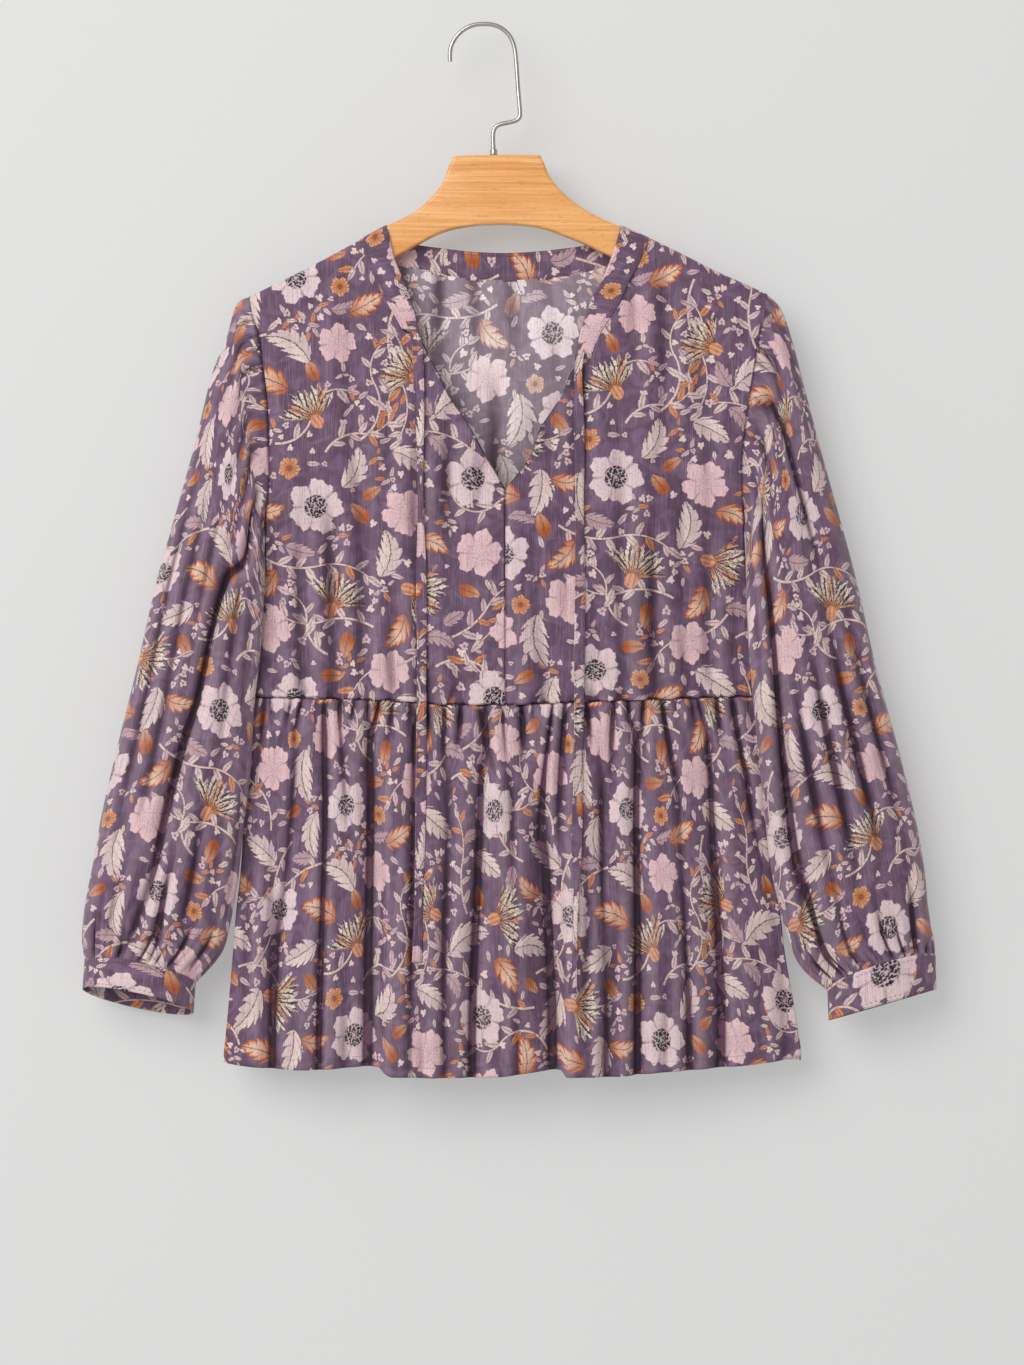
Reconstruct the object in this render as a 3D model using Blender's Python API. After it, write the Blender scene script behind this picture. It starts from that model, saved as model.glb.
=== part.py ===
"""A gathered tie-neck blouse hanging on a plain wooden hanger.

Lengths are millimetres until a mesh is made. X runs to the right as the blouse is looked at, the front
faces -Y, and a "drop" is a distance below the place where the hook hangs, so Z is minus the drop.
"""

import math
from collections import namedtuple

import bmesh
import bpy
import numpy as np
from mathutils import Vector

MM = 0.001

# Cloth
WALL = 1.2
SEAM = 0.3
LIP = WALL / 2 + SEAM / 2          # half depth where front and back lie face to face at a side seam
CENTRE_X = 17.2                    # the centre front seam
NECK_POINT_DROP = 168.8            # where the shoulder line meets the neckband, on either side
NECK_POINT_LEFT = -95.2
NECK_POINT_RIGHT = 130.4
SPLIT_FOOT = 371.2                 # the bottom of the open neck
UNDERARM = 403.2
WAIST_DROP = 538.0                 # the waist seam's and the hem's usual drop
HEM_DROP = 828.0
BODICE_COLUMNS = 15
SHOULDER_COLUMNS = 6
ROUNDNESS = 2.2                    # how fast the blouse gains depth inwards from its sides
WAIST_GATHERS_FRONT = 33
WAIST_GATHERS_BACK = 30
GATHER_STEP = 2.4                  # turns the gathers' heights unequal
CUFF_GATHERS = 24
SLEEVE_POINTS = 2 * CUFF_GATHERS
HEAD_RINGS = 3                     # rings of a sleeve that hold the gathers of its head
HEAD_SHARE = 0.42                  # how far across the sleeve those gathers reach
TROUGH_WIDTH = 0.075               # half width of a sleeve's trough, as a share of the sleeve's width
CUFF_POINTS = 32
CUFF_TILT = 0.45                   # how far the back of a cuff drops for each mm of its depth
CUFF_TILT_RIGHT = 0.135            # the same at the lower edge of the right cuff
TIE_WIDTH = 8.5
TIE_CLEARANCE = 0.6
TIE_SECTIONS = 22
TIE_SPACING = 1.15                 # sections of a tie lie closer together at its top

# Hanger
ARM_HALF = 6.0                     # half the thickness of the wood
ARM_ROUND = 7.1                    # radius of the cloth's middle over the rounded top of the arm
WIRE_RADIUS = 1.8
FERRULE_RADIUS = 3.0


class Table:
    """A short table with named columns, read between its rows by a smooth curve that never overshoots."""

    def __init__(self, columns, *rows):
        self.columns = columns.split()
        self.rows = np.array(sorted(rows), float)
        self.slopes = [self.slopes_of(i) for i in range(1, len(self.columns))]

    def slopes_of(self, column):
        key, value = self.rows[:, 0], self.rows[:, column]
        step = np.diff(key)
        rise = np.diff(value) / step
        slopes = np.zeros(len(key))
        for i in range(1, len(key) - 1):
            if rise[i - 1] * rise[i] > 0:
                before, after = 2 * step[i] + step[i - 1], step[i] + 2 * step[i - 1]
                slopes[i] = (before + after) / (before / rise[i - 1] + after / rise[i])
        slopes[0], slopes[-1] = rise[0], rise[-1]
        return slopes

    def at(self, column, key):
        i = self.columns.index(column)
        keys, values, slopes = self.rows[:, 0], self.rows[:, i], self.slopes[i - 1]
        key = min(max(key, keys[0]), keys[-1])
        k = min(int(np.searchsorted(keys, key, side="right")) - 1, len(keys) - 2)
        width = keys[k + 1] - keys[k]
        t = (key - keys[k]) / width
        rise = values[k + 1] - values[k]
        a = slopes[k] * width - rise
        b = rise - slopes[k + 1] * width
        return values[k] + rise * t + t * (1 - t) * (a * (1 - t) + b * t)


# Outlines seen from the front
SHOULDER_LEFT = Table("x drop", (-188.0, 216.8), (-147.2, 196.8), (-115.2, 180.0), (-95.2, 168.8),
                      (-77.6, 159.2), (CENTRE_X, 112.0))
SHOULDER_RIGHT = Table("x drop", (CENTRE_X, 112.0), (108.8, 159.6), (130.4, 168.8), (150.4, 178.4),
                       (184.0, 195.2), (226.4, 214.4))
SIDE_LEFT = Table("drop x", (216.8, -188.0), (231.2, -185.6), (246.4, -180.8), (268.0, -177.6),
                  (299.2, -173.6), (331.0, -172.0), (363.0, -172.0), (403.2, -175.2), (432.0, -176.0),
                  (451.2, -177.6), (475.2, -180.0), (504.0, -182.0), (537.6, -184.8), (571.2, -188.0),
                  (603.2, -190.4), (638.4, -192.4), (672.8, -194.4), (709.6, -198.4), (750.4, -201.6),
                  (782.8, -204.4), (824.0, -208.0))
SIDE_RIGHT = Table("drop x", (214.4, 226.4), (233.6, 224.0), (255.2, 219.2), (283.2, 214.4),
                   (315.2, 209.6), (352.0, 206.4), (403.2, 208.0), (432.0, 209.6), (451.2, 211.2),
                   (475.2, 212.8), (504.0, 214.4), (536.8, 216.8), (571.2, 220.8), (603.2, 224.8),
                   (635.2, 227.2), (672.8, 231.2), (716.0, 237.6), (738.4, 240.0), (776.8, 246.4),
                   (822.4, 253.6))
WAIST = Table("x drop", (-184.8, 536.8), (-113.6, 538.4), (-64.0, 540.0), (-31.6, 542.8), (17.6, 542.8),
              (70.4, 541.1), (111.2, 539.5), (160.0, 537.9), (216.8, 536.0))
HEM = Table("x drop", (-208.0, 824.0), (-204.8, 829.6), (-140.8, 833.6), (-84.0, 830.4), (-79.0, 835.2),
            (-72.4, 838.4), (-5.6, 839.2), (44.8, 834.4), (61.0, 832.8), (66.0, 838.4), (104.0, 838.4),
            (144.0, 834.8), (187.6, 832.0), (222.4, 828.8), (253.6, 824.0))

# The neck: where each front joins the band, then the bare edge of the split down to its foot
NECK_LEFT = Table("drop x", (NECK_POINT_DROP, NECK_POINT_LEFT), (181.6, -94.4), (192.0, -91.2),
                  (203.2, -85.6), (215.2, -80.0), (229.6, -72.0), (244.0, -64.0), (252.0, -50.4),
                  (264.8, -43.6), (277.6, -36.8), (294.4, -28.8), (320.0, -12.0), (345.6, 2.4),
                  (SPLIT_FOOT, CENTRE_X))
NECK_RIGHT = Table("drop x", (NECK_POINT_DROP, NECK_POINT_RIGHT), (175.9, 128.4), (189.2, 123.2),
                   (207.2, 113.6), (222.4, 107.2), (244.0, 93.6), (256.0, 88.5), (268.0, 84.0),
                   (276.0, 70.4), (293.6, 63.2), (311.6, 52.0), (322.4, 44.8), (343.2, 37.6),
                   (SPLIT_FOOT, CENTRE_X))

# Rows of each panel from the shoulder down. A front's are named by the drop at its neck end: round the
# hanger's arm, down the neck and the split, and on to the waist. The back's are shares of its height.
# The armhole's points are numbered from the shoulder tip (0) to the underarm; each row ends at one of them.
ARM_TURN = [ARM_ROUND * (1 - math.cos(math.radians(a))) for a in (0, 30, 60, 90)]
FRONT_ROWS_LEFT = [NECK_POINT_DROP + turn for turn in ARM_TURN] + [
    181.6, 192.0, 203.2, 215.2, 229.6, 244.0, 252.0, 277.6, 320.0, 345.6, SPLIT_FOOT,
    412.0, 456.0, 500.0]
FRONT_ROWS_RIGHT = [NECK_POINT_DROP + turn for turn in ARM_TURN] + [
    189.2, 207.2, 222.4, 244.0, 256.0, 268.0, 276.0, 311.6, 343.2, SPLIT_FOOT, 412.0,
    456.0, 500.0]
BACK_HEIGHT = WAIST_DROP - NECK_POINT_DROP
BACK_ROWS = [turn / BACK_HEIGHT for turn in ARM_TURN] + [
    0.05, 0.12, 0.20, 0.28, 0.37, 0.45, 0.52, 0.60, 0.73, 0.87]
ARMHOLE_POINTS = 24
ARMHOLE_ROWS_LEFT = (0, 1, 2, 3, 4, 5, 7, 8, 9, 10, 11, 13, 16, 20, 24)
ARMHOLE_ROWS_RIGHT = (0, 1, 2, 3, 5, 7, 9, 10, 11, 12, 14, 16, 20, 24)
ARMHOLE_ROWS_BACK = (0, 1, 2, 3, 5, 7, 9, 11, 13, 16, 20, 24)

# The band: its seam and its free edge, from the left end over the shoulders to the right end.
# The two ends lie a little above the last neck row, on the seam's own line.
BAND_FRONT_LEFT = Table("seam_drop free_x free_drop", (175.9, -76.2, 165.9), (181.6, -74.0, 176.5),
                        (192.0, -70.6, 188.8), (203.2, -66.4, 199.2), (215.2, -60.8, 212.0),
                        (229.6, -56.4, 226.4), (243.0, -52.4, 245.2))
BAND_FRONT_RIGHT = Table("seam_drop free_x free_drop", (175.9, 107.6, 167.0), (189.2, 103.5, 180.5),
                         (207.2, 94.0, 204.5), (222.4, 86.5, 217.5), (244.0, 78.0, 242.0),
                         (256.0, 74.8, 256.0), (267.2, 72.2, 268.0))
BAND_BACK = Table("seam_x seam_drop free_x free_drop",
                  (-92.0, 175.0, -76.2, 165.9), (-87.0, 181.6, -72.5, 168.6), (-78.0, 186.6, -65.0, 171.5),
                  (-66.0, 190.6, -56.0, 173.5), (-50.4, 194.6, -46.0, 175.2), (-34.4, 198.0, -33.0, 176.8),
                  (-16.0, 200.8, -16.0, 178.8), (0.0, 202.0, 0.0, 180.0), (17.2, 202.3, 17.2, 180.5),
                  (34.0, 201.9, 34.0, 179.8), (50.0, 200.8, 49.0, 178.6), (66.0, 199.2, 63.0, 177.0),
                  (82.0, 196.0, 77.0, 175.2), (98.0, 191.3, 89.0, 172.8), (111.0, 186.2, 97.5, 170.2),
                  (121.0, 181.0, 104.0, 167.8), (127.0, 175.2, 107.6, 166.6))
SHOULDER_STEPS = (1.0, 2.0)        # how far the seam has moved inwards at each turn behind the arm
FREE_LEFT_X = -77.6                # the band's free edge on top of each shoulder
FREE_RIGHT_X = 108.8

# Half the depth of the hanging blouse, from the middle of one wall to the middle plane
MIDDLE = Table("drop depth", (150.0, 7.2), (190.0, 7.6), (230.0, 9.5), (280.0, 12.5), (340.0, 15.5),
               (420.0, 17.5), (500.0, 17.0), (540.0, 16.0), (600.0, 17.0), (700.0, 20.0), (845.0, 22.0))
ARMHOLE = Table("drop depth", (210.0, ARM_ROUND), (250.0, 9.5), (300.0, 12.0), (350.0, 12.0),
                (380.0, 8.5), (396.0, 3.8), (UNDERARM, LIP))

# Folds of a panel: where each runs, how far it stands out (or in, if negative), and how soft its
# two sides are. It grows from nothing at the drop "start" to its whole height at the drop "full".
Fold = namedtuple("Fold", "x_top x_hem start full height left right")
BODICE_FOLDS_FRONT = [Fold(*row) for row in (
    (-120.0, -128.0, 240, 400, -1.6, 16, 14), (-70.0, -74.0, 300, 420, 1.6, 14, 16),
    (60.0, 64.0, 300, 420, -1.5, 15, 15), (118.0, 122.0, 240, 380, 1.6, 16, 16),
    (160.0, 168.0, 280, 400, -1.8, 12, 14))]
BODICE_FOLDS_BACK = [Fold(*row) for row in (
    (-110.0, -116.0, 240, 400, -1.8, 18, 18), (-40.0, -44.0, 280, 420, 1.8, 20, 20),
    (17.0, 17.0, 240, 400, -1.6, 16, 16), (80.0, 84.0, 280, 420, 1.8, 20, 20),
    (150.0, 158.0, 240, 400, -1.8, 18, 18))]
PEPLUM_FOLDS_FRONT = [Fold(*row) for row in (
    (-152.0, -172.0, 560, 700, -3.0, 10, 9), (-128.0, -144.0, 560, 700, 3.2, 14, 18),
    (-88.0, -97.0, 550, 660, -6.5, 13, 6), (-76.0, -75.0, 550, 640, 6.0, 5, 20),
    (-30.0, -38.0, 570, 700, 2.0, 14, 14), (-2.0, -8.0, 560, 680, -5.0, 10, 9),
    (18.0, 22.0, 560, 680, 3.6, 11, 12), (42.0, 52.0, 560, 690, -6.0, 14, 7),
    (66.0, 69.0, 580, 740, 6.5, 5, 18), (120.0, 121.0, 560, 660, -4.0, 9, 9),
    (140.0, 152.0, 560, 700, 3.0, 13, 14), (172.0, 184.0, 560, 680, -4.0, 9, 9),
    (192.0, 214.0, 570, 700, 3.0, 11, 10))]
PEPLUM_FOLDS_BACK = [Fold(*row) for row in (
    (-150.0, -170.0, 560, 700, -3.0, 11, 10), (-122.0, -138.0, 560, 690, 3.4, 16, 14),
    (-84.0, -96.0, 555, 680, -5.0, 12, 9), (-52.0, -58.0, 560, 700, 4.5, 12, 18),
    (-14.0, -20.0, 560, 690, -4.5, 11, 12), (14.0, 16.0, 560, 690, 3.6, 13, 13),
    (46.0, 50.0, 560, 680, -5.5, 13, 9), (78.0, 84.0, 560, 700, 4.6, 9, 16),
    (112.0, 122.0, 560, 690, -4.0, 11, 10), (142.0, 156.0, 560, 700, 3.4, 14, 14),
    (176.0, 192.0, 560, 680, -3.6, 10, 10))]
PEPLUM_ROWS = (0, 8, 20, 40, 70, 115, 175, 235, 290)    # mm below the waist seam at the middle
WAIST_GATHER = Table("below height", (0, 0.9), (7, 1.9), (18, 1.9), (36, 1.5), (62, 0.9), (100, 0.4), (150, 0))

# Sleeves, ring by ring from below the armhole to the cuff. "nose" is how far the inner edge stands in
# front of the blouse's side, "tilt" how far the back of the ring drops for each mm of its depth.
Ring = namedtuple("Ring", "outer_x outer_drop inner_x inner_drop nose depth tilt gather")
SLEEVE_LEFT = [Ring(*row) for row in (
    (-198.4, 223.2, -176.4, 411.2, 2, 12.5, 0.00, 0.9), (-206.4, 251.2, -176.0, 420.8, 5, 14, 0.00, 0.7),
    (-217.6, 279.2, -174.8, 432.0, 8, 15, 0.00, 0.0), (-232.0, 337.6, -175.2, 451.2, 10, 16, 0.00, 0.0),
    (-248.0, 395.2, -176.8, 475.2, 10, 16, 0.00, 0.0), (-261.6, 443.2, -178.8, 504.0, 10, 16, 0.00, 0.0),
    (-277.6, 513.6, -183.2, 543.2, 10, 17, 0.00, 0.0), (-292.8, 575.2, -186.4, 595.2, 10, 18, 0.05, 0.0),
    (-305.6, 629.6, -191.6, 638.4, 10, 19, 0.12, 0.0), (-313.6, 671.2, -196.0, 679.2, 9, 20, 0.22, 0.3),
    (-320.0, 708.8, -203.2, 719.2, 5, 20, 0.34, 0.9), (-321.6, 731.2, -210.4, 741.6, 2, 19.5, 0.42, 1.4),
    (-319.2, 748.8, -231.2, 766.4, 0, 17, CUFF_TILT, 0.8))]
SLEEVE_RIGHT = [Ring(*row) for row in (
    (236.8, 225.6, 209.6, 411.2, 2, 12.5, 0.00, 0.9), (244.8, 247.2, 210.0, 420.8, 5, 14, 0.00, 0.7),
    (253.6, 279.2, 209.2, 432.0, 8, 15, 0.00, 0.0), (268.8, 337.6, 209.6, 451.2, 10, 16, 0.00, 0.0),
    (284.8, 395.2, 210.4, 475.2, 10, 16, 0.00, 0.0), (297.6, 443.2, 212.0, 504.0, 10, 16, 0.00, 0.0),
    (313.6, 513.6, 215.2, 543.2, 10, 17, 0.00, 0.0), (330.4, 575.2, 220.4, 595.2, 10, 18, 0.05, 0.0),
    (344.0, 629.6, 224.8, 638.4, 10, 19, 0.12, 0.0), (352.0, 671.2, 230.4, 679.2, 9, 20, 0.20, 0.3),
    (357.6, 708.8, 240.8, 721.6, 5, 20, 0.30, 0.9), (360.0, 729.6, 252.8, 751.2, 2, 19.5, 0.38, 1.4),
    (360.8, 745.6, 275.2, 771.2, 0, 17, CUFF_TILT, 0.8))]
# Long troughs of a sleeve: at ring "ring" the trough lies at "across" (0 outer edge, 1 inner edge)
TROUGH_LEFT = Table("ring across depth", (2, 0.80, 0.0), (3, 0.80, 3.0), (4, 0.78, 4.5), (5, 0.62, 5.5),
                    (6, 0.56, 5.5), (7, 0.55, 5.5), (8, 0.49, 5.0), (9, 0.46, 4.0), (10, 0.45, 2.5),
                    (12, 0.44, 0.0))
TROUGH_RIGHT = Table("ring across depth", (2, 0.74, 0.0), (3, 0.77, 3.0), (4, 0.80, 4.0), (5, 0.80, 4.5),
                     (6, 0.81, 4.5), (7, 0.83, 4.5), (8, 0.86, 4.0), (9, 0.87, 3.0), (10, 0.87, 2.0),
                     (12, 0.86, 0.0))
TROUGH_UPPER = Table("ring across depth", (1, 0.40, 0.0), (2, 0.36, 2.5), (3, 0.32, 3.0), (4, 0.30, 2.0),
                     (6, 0.28, 0.0))
TROUGH_BACK = Table("ring across depth", (2, 0.50, 0.0), (4, 0.52, 3.0), (6, 0.50, 4.5), (8, 0.48, 4.5),
                    (10, 0.46, 2.5), (12, 0.45, 0.0))
CUFF_LEFT = ((-320.8, 770.4), (-232.8, 788.8))
CUFF_RIGHT = ((361.6, 770.4), (276.0, 795.2))

# Ties: the middle line of each
TIE_LEFT = Table("drop x", (237.0, -58.0), (247.0, -55.0), (258.0, -52.8), (300.0, -51.5), (400.0, -50.0),
                 (500.0, -49.4), (600.0, -50.0), (700.0, -51.5), (747.0, -53.0))
TIE_RIGHT = Table("drop x", (260.0, 78.0), (270.0, 76.0), (282.0, 75.0), (340.0, 76.0), (450.0, 76.4),
                  (550.0, 75.6), (650.0, 74.0), (720.0, 72.0), (771.0, 70.4))

# Wooden hanger: its top and bottom edge, and the arms' ends inside the shoulders
HANGER_TOP = Table("x drop", (-73.6, 158.4), (-55.2, 148.8), (-44.0, 139.2), (-34.4, 128.0),
                   (-29.6, 118.0), (-27.2, 109.6), (-25.0, 105.4), (-21.0, 104.2), (44.0, 103.2),
                   (47.2, 107.0), (48.6, 112.0), (52.0, 119.6), (60.8, 131.2), (73.6, 142.4),
                   (89.6, 152.0), (106.0, 159.6))
HANGER_BOTTOM = Table("x drop", (-176.0, 227.0), (-150.0, 217.6), (-110.0, 203.0), (-70.4, 184.8),
                      (-50.4, 173.6), (-34.4, 165.6), (-17.6, 161.2), (-1.6, 159.2), (14.4, 158.8),
                      (31.2, 159.6), (47.2, 162.1), (64.0, 168.0), (80.0, 174.4), (101.6, 184.8),
                      (140.0, 200.8), (180.0, 216.4), (208.0, 224.0))
HANGER_STATIONS = (-174.0, -150.0, -124.0, -98.0, -80.0, -73.6, -64.0, -55.2, -44.0, -34.4, -29.6, -27.2,
                   -25.0, -21.0, -4.0, 14.4, 31.2, 44.0, 47.2, 48.6, 52.0, 60.8, 73.6, 89.6, 106.0,
                   116.0, 140.0, 164.0, 188.0, 206.0)
HOOK_PATH = ((-27.2, 28.0), (-26.8, 18.0), (-23.0, 9.6), (-16.6, 3.0), (-8.8, -0.8), (0.0, -1.8),
             (8.0, -1.0), (14.6, 2.0), (20.4, 7.6), (24.0, 15.6), (25.6, 26.0), (26.6, 40.0),
             (27.8, 56.0), (28.8, 68.6), (28.4, 72.8), (25.6, 75.4), (20.0, 77.0), (13.4, 78.4),
             (9.4, 80.6), (7.4, 85.0), (7.2, 91.0), (7.6, 98.0))
FERRULE_X = 7.7
FERRULE_TOP = 98.4
FERRULE_BOTTOM = 103.4

PRINT = ("print_cloth", (0.123, 0.085, 0.147, 1.0), 0.75, 0.0)
WOOD = ("hanger_wood", (0.76, 0.37, 0.108, 1.0), 0.42, 0.0)
STEEL = ("hook_steel", (0.56, 0.55, 0.53, 1.0), 0.3, 1.0)


def empty_scene():
    for old in list(bpy.data.objects):
        bpy.data.objects.remove(old)


def collection_named(name):
    made = bpy.data.collections.new(name)
    bpy.context.scene.collection.children.link(made)
    return made


def material(name, colour, roughness, metallic):
    made = bpy.data.materials.get(name)
    if made is None:
        made = bpy.data.materials.new(name)
        made.use_nodes = True
        shader = made.node_tree.nodes["Principled BSDF"]
        shader.inputs["Base Color"].default_value = colour
        shader.inputs["Roughness"].default_value = roughness
        shader.inputs["Metallic"].default_value = metallic
    return made


def object_from(mesh, name, finish, collection, smooth=35):
    mesh.shade_smooth()
    mesh.set_sharp_from_angle(angle=math.radians(smooth))
    made = bpy.data.objects.new(name, mesh)
    made.data.materials.append(material(*finish))
    collection.objects.link(made)
    return made


def blend(a, b, t):
    return a + (b - a) * t


def eased(value, low, high):
    t = min(max((value - low) / (high - low), 0.0), 1.0)
    return t * t * (3 - 2 * t)


def shoulder_drop(x):
    table = SHOULDER_LEFT if x < CENTRE_X else SHOULDER_RIGHT
    return table.at("drop", x)


def side_x(drop, left):
    return (SIDE_LEFT if left else SIDE_RIGHT).at("x", drop)


def fold_height(folds, x, drop):
    """Sum of the folds at a place, each a soft ridge or trough with two unlike sides."""
    total = 0.0
    for fold in folds:
        away = x - blend(fold.x_top, fold.x_hem, eased(drop, fold.start, HEM_DROP))
        softness = fold.left if away < 0 else fold.right
        total += fold.height * eased(drop, fold.start, fold.full) * math.exp(-((away / softness) ** 2))
    return total


def half_depth(x, drop, folds=()):
    """Depth of the blouse's wall from its middle plane, at a place seen from the front."""
    edge = side_x(drop, x < CENTRE_X)
    inward = abs(x - edge)
    share = min(inward / abs(CENTRE_X - edge), 1.0)
    lip = ARMHOLE.at("depth", drop) if drop < UNDERARM else LIP
    depth = lip + (MIDDLE.at("depth", drop) - lip) * (1 - (1 - share) ** ROUNDNESS)
    depth += fold_height(folds, x, drop) * eased(inward, 2.0, 22.0)
    below = drop - shoulder_drop(x)
    if below < ARM_ROUND:
        depth *= math.sqrt(max(0.0, 1 - (1 - max(below, 0.0) / ARM_ROUND) ** 2))
    return depth


def normals_of(points, wrap):
    """Unit normals of a grid of points, from the lines that cross at each."""
    if wrap:
        ringed = np.concatenate([points[:, -1:], points, points[:, :1]], axis=1)
        across = ringed[:, 2:] - ringed[:, :-2]
    else:
        across = np.gradient(points, axis=1)
    down = np.gradient(points, axis=0)
    normals = np.cross(across, down)
    return normals / np.linalg.norm(normals, axis=2, keepdims=True)


def squared_to(normals, axis):
    """The same normals turned square to an axis, so that the wall's end there is flat."""
    axis = np.array(axis, float)
    axis /= np.linalg.norm(axis)
    flat = normals - (normals @ axis)[..., None] * axis
    return flat / np.linalg.norm(flat, axis=-1, keepdims=True)


def cloth_wall(name, points, normals, collection, wrap=False):
    """A closed wall of cloth: a grid of points moved out and in by half the cloth, and its rims."""
    rows, columns = points.shape[:2]
    mesh = bmesh.new()
    sides = []
    for offset in (WALL / 2, -WALL / 2):
        moved = (points + normals * offset) * MM
        sides.append([[mesh.verts.new(moved[i, j]) for j in range(columns)] for i in range(rows)])
    last = columns if wrap else columns - 1
    for i in range(rows - 1):
        for j in range(last):
            k = (j + 1) % columns
            first_way = np.linalg.norm(points[i, j] - points[i + 1, k])
            other_way = np.linalg.norm(points[i, k] - points[i + 1, j])
            for side in sides:
                a, b, c, d = side[i][j], side[i][k], side[i + 1][k], side[i + 1][j]
                pair = ((a, b, c), (a, c, d)) if first_way <= other_way else ((a, b, d), (b, c, d))
                for corners in pair:
                    mesh.faces.new(corners)
    outer, inner = sides
    rims = [[(i, j) for j in range(columns)] for i in (0, rows - 1)]
    if not wrap:
        rims += [[(i, j) for i in range(rows)] for j in (0, columns - 1)]
    for rim in rims:
        pairs = list(zip(rim, rim[1:]))
        if wrap:
            pairs.append((rim[-1], rim[0]))
        for (i, j), (m, n) in pairs:
            mesh.faces.new((outer[i][j], outer[m][n], inner[m][n]))
            mesh.faces.new((outer[i][j], inner[m][n], inner[i][j]))
    bmesh.ops.recalc_face_normals(mesh, faces=mesh.faces)
    data = bpy.data.meshes.new(name)
    mesh.to_mesh(data)
    mesh.free()
    return object_from(data, name, PRINT, collection, 60)


def armhole_drop(point, left):
    """Drop of one of the armhole's numbered points, which lie closer together towards its two ends."""
    tip = (SIDE_LEFT if left else SIDE_RIGHT).rows[0, 0]
    return blend(tip, UNDERARM, (1 - math.cos(math.pi * point / ARMHOLE_POINTS)) / 2)


def armhole_seam(point, left, rows):
    """The seam at a numbered point: x, half depth and drop. It runs straight from one row's end to the next."""
    low = max(row for row in rows if row <= point)
    high = min(row for row in rows if row >= point)
    ends = []
    for row in (low, high):
        drop = armhole_drop(row, left)
        ends.append((side_x(drop, left), half_depth(side_x(drop, left), drop), drop))
    if low == high:
        return ends[0]
    drop = armhole_drop(point, left)
    share = (drop - ends[0][2]) / (ends[1][2] - ends[0][2])
    return tuple(blend(a, b, share) for a, b in zip(*ends))


def outer_shares(shares, left, rows):
    """The same rows' shares at the armhole, where each ends at its numbered point."""
    outer = list(shares)
    for i, row in enumerate(rows):
        drop = armhole_drop(row, left)
        x = side_x(drop, left)
        top = shoulder_drop(x)
        outer[i] = (drop - top) / (WAIST.at("drop", x) - top)
    return outer


def row_shares(drops, neck):
    """How far each row lies from the shoulder line (0) to the waist seam (1)."""
    shares = []
    for drop in drops:
        x = neck.at("x", drop)
        top = shoulder_drop(x)
        shares.append((drop - top) / (WAIST.at("drop", x) - top))
    return shares


def edge_at(share, left, top_of):
    """Where a row that is a given share of the way down meets the armhole or side seam."""
    x = side_x(0.0, left)
    for _ in range(12):
        drop = blend(top_of(x), WAIST.at("drop", x), share)
        x = side_x(drop, left)
    return x


def bodice_front(name, left, collection):
    neck, drops = (NECK_LEFT, FRONT_ROWS_LEFT) if left else (NECK_RIGHT, FRONT_ROWS_RIGHT)
    inward = 1 if left else -1
    grid = []
    shares = row_shares(drops, neck) + [1.0]
    armhole_rows = ARMHOLE_ROWS_LEFT if left else ARMHOLE_ROWS_RIGHT
    for i, (share, outer_share) in enumerate(zip(shares, outer_shares(shares, left, armhole_rows))):
        if i < len(drops) and drops[i] < SPLIT_FOOT:
            inner = neck.at("x", drops[i])
        else:
            inner = CENTRE_X - inward * SEAM / 2
        outer = edge_at(outer_share, left, shoulder_drop) + inward * SEAM / 2
        row = []
        for j in range(BODICE_COLUMNS + 1):
            t = j / BODICE_COLUMNS
            x = blend(inner, outer, t)
            level = blend(shoulder_drop(x), WAIST.at("drop", x), blend(share, outer_share, t))
            depth = max(half_depth(x, level, BODICE_FOLDS_FRONT), SEAM / 2)
            if share == 1.0:
                level -= SEAM / 2
            row.append((x, -depth, -level))
        grid.append(row)
    points = np.array(grid)
    normals = normals_of(points, False)
    normals[0] = squared_to(normals[0], (0, 1, 0))
    normals[-1] = squared_to(normals[-1], (0, 0, 1))
    normals[:, -1] = squared_to(normals[:, -1], (1, 0, 0))
    return cloth_wall(name, points, normals, collection)


def back_top(x):
    """The top of the back: the neck seam between the two neck points, and the shoulders beyond."""
    low, high = BAND_BACK.rows[0, 0], BAND_BACK.rows[-1, 0]
    if low <= x <= high:
        return BAND_BACK.at("seam_drop", x)
    for step, turn in zip((0.0,) + SHOULDER_STEPS, ARM_TURN):
        for neck_x, inward in ((NECK_POINT_LEFT, 1), (NECK_POINT_RIGHT, -1)):
            if abs(x - (neck_x + inward * step)) < 1e-6:
                return shoulder_drop(x) + turn
    return shoulder_drop(x)


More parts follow.
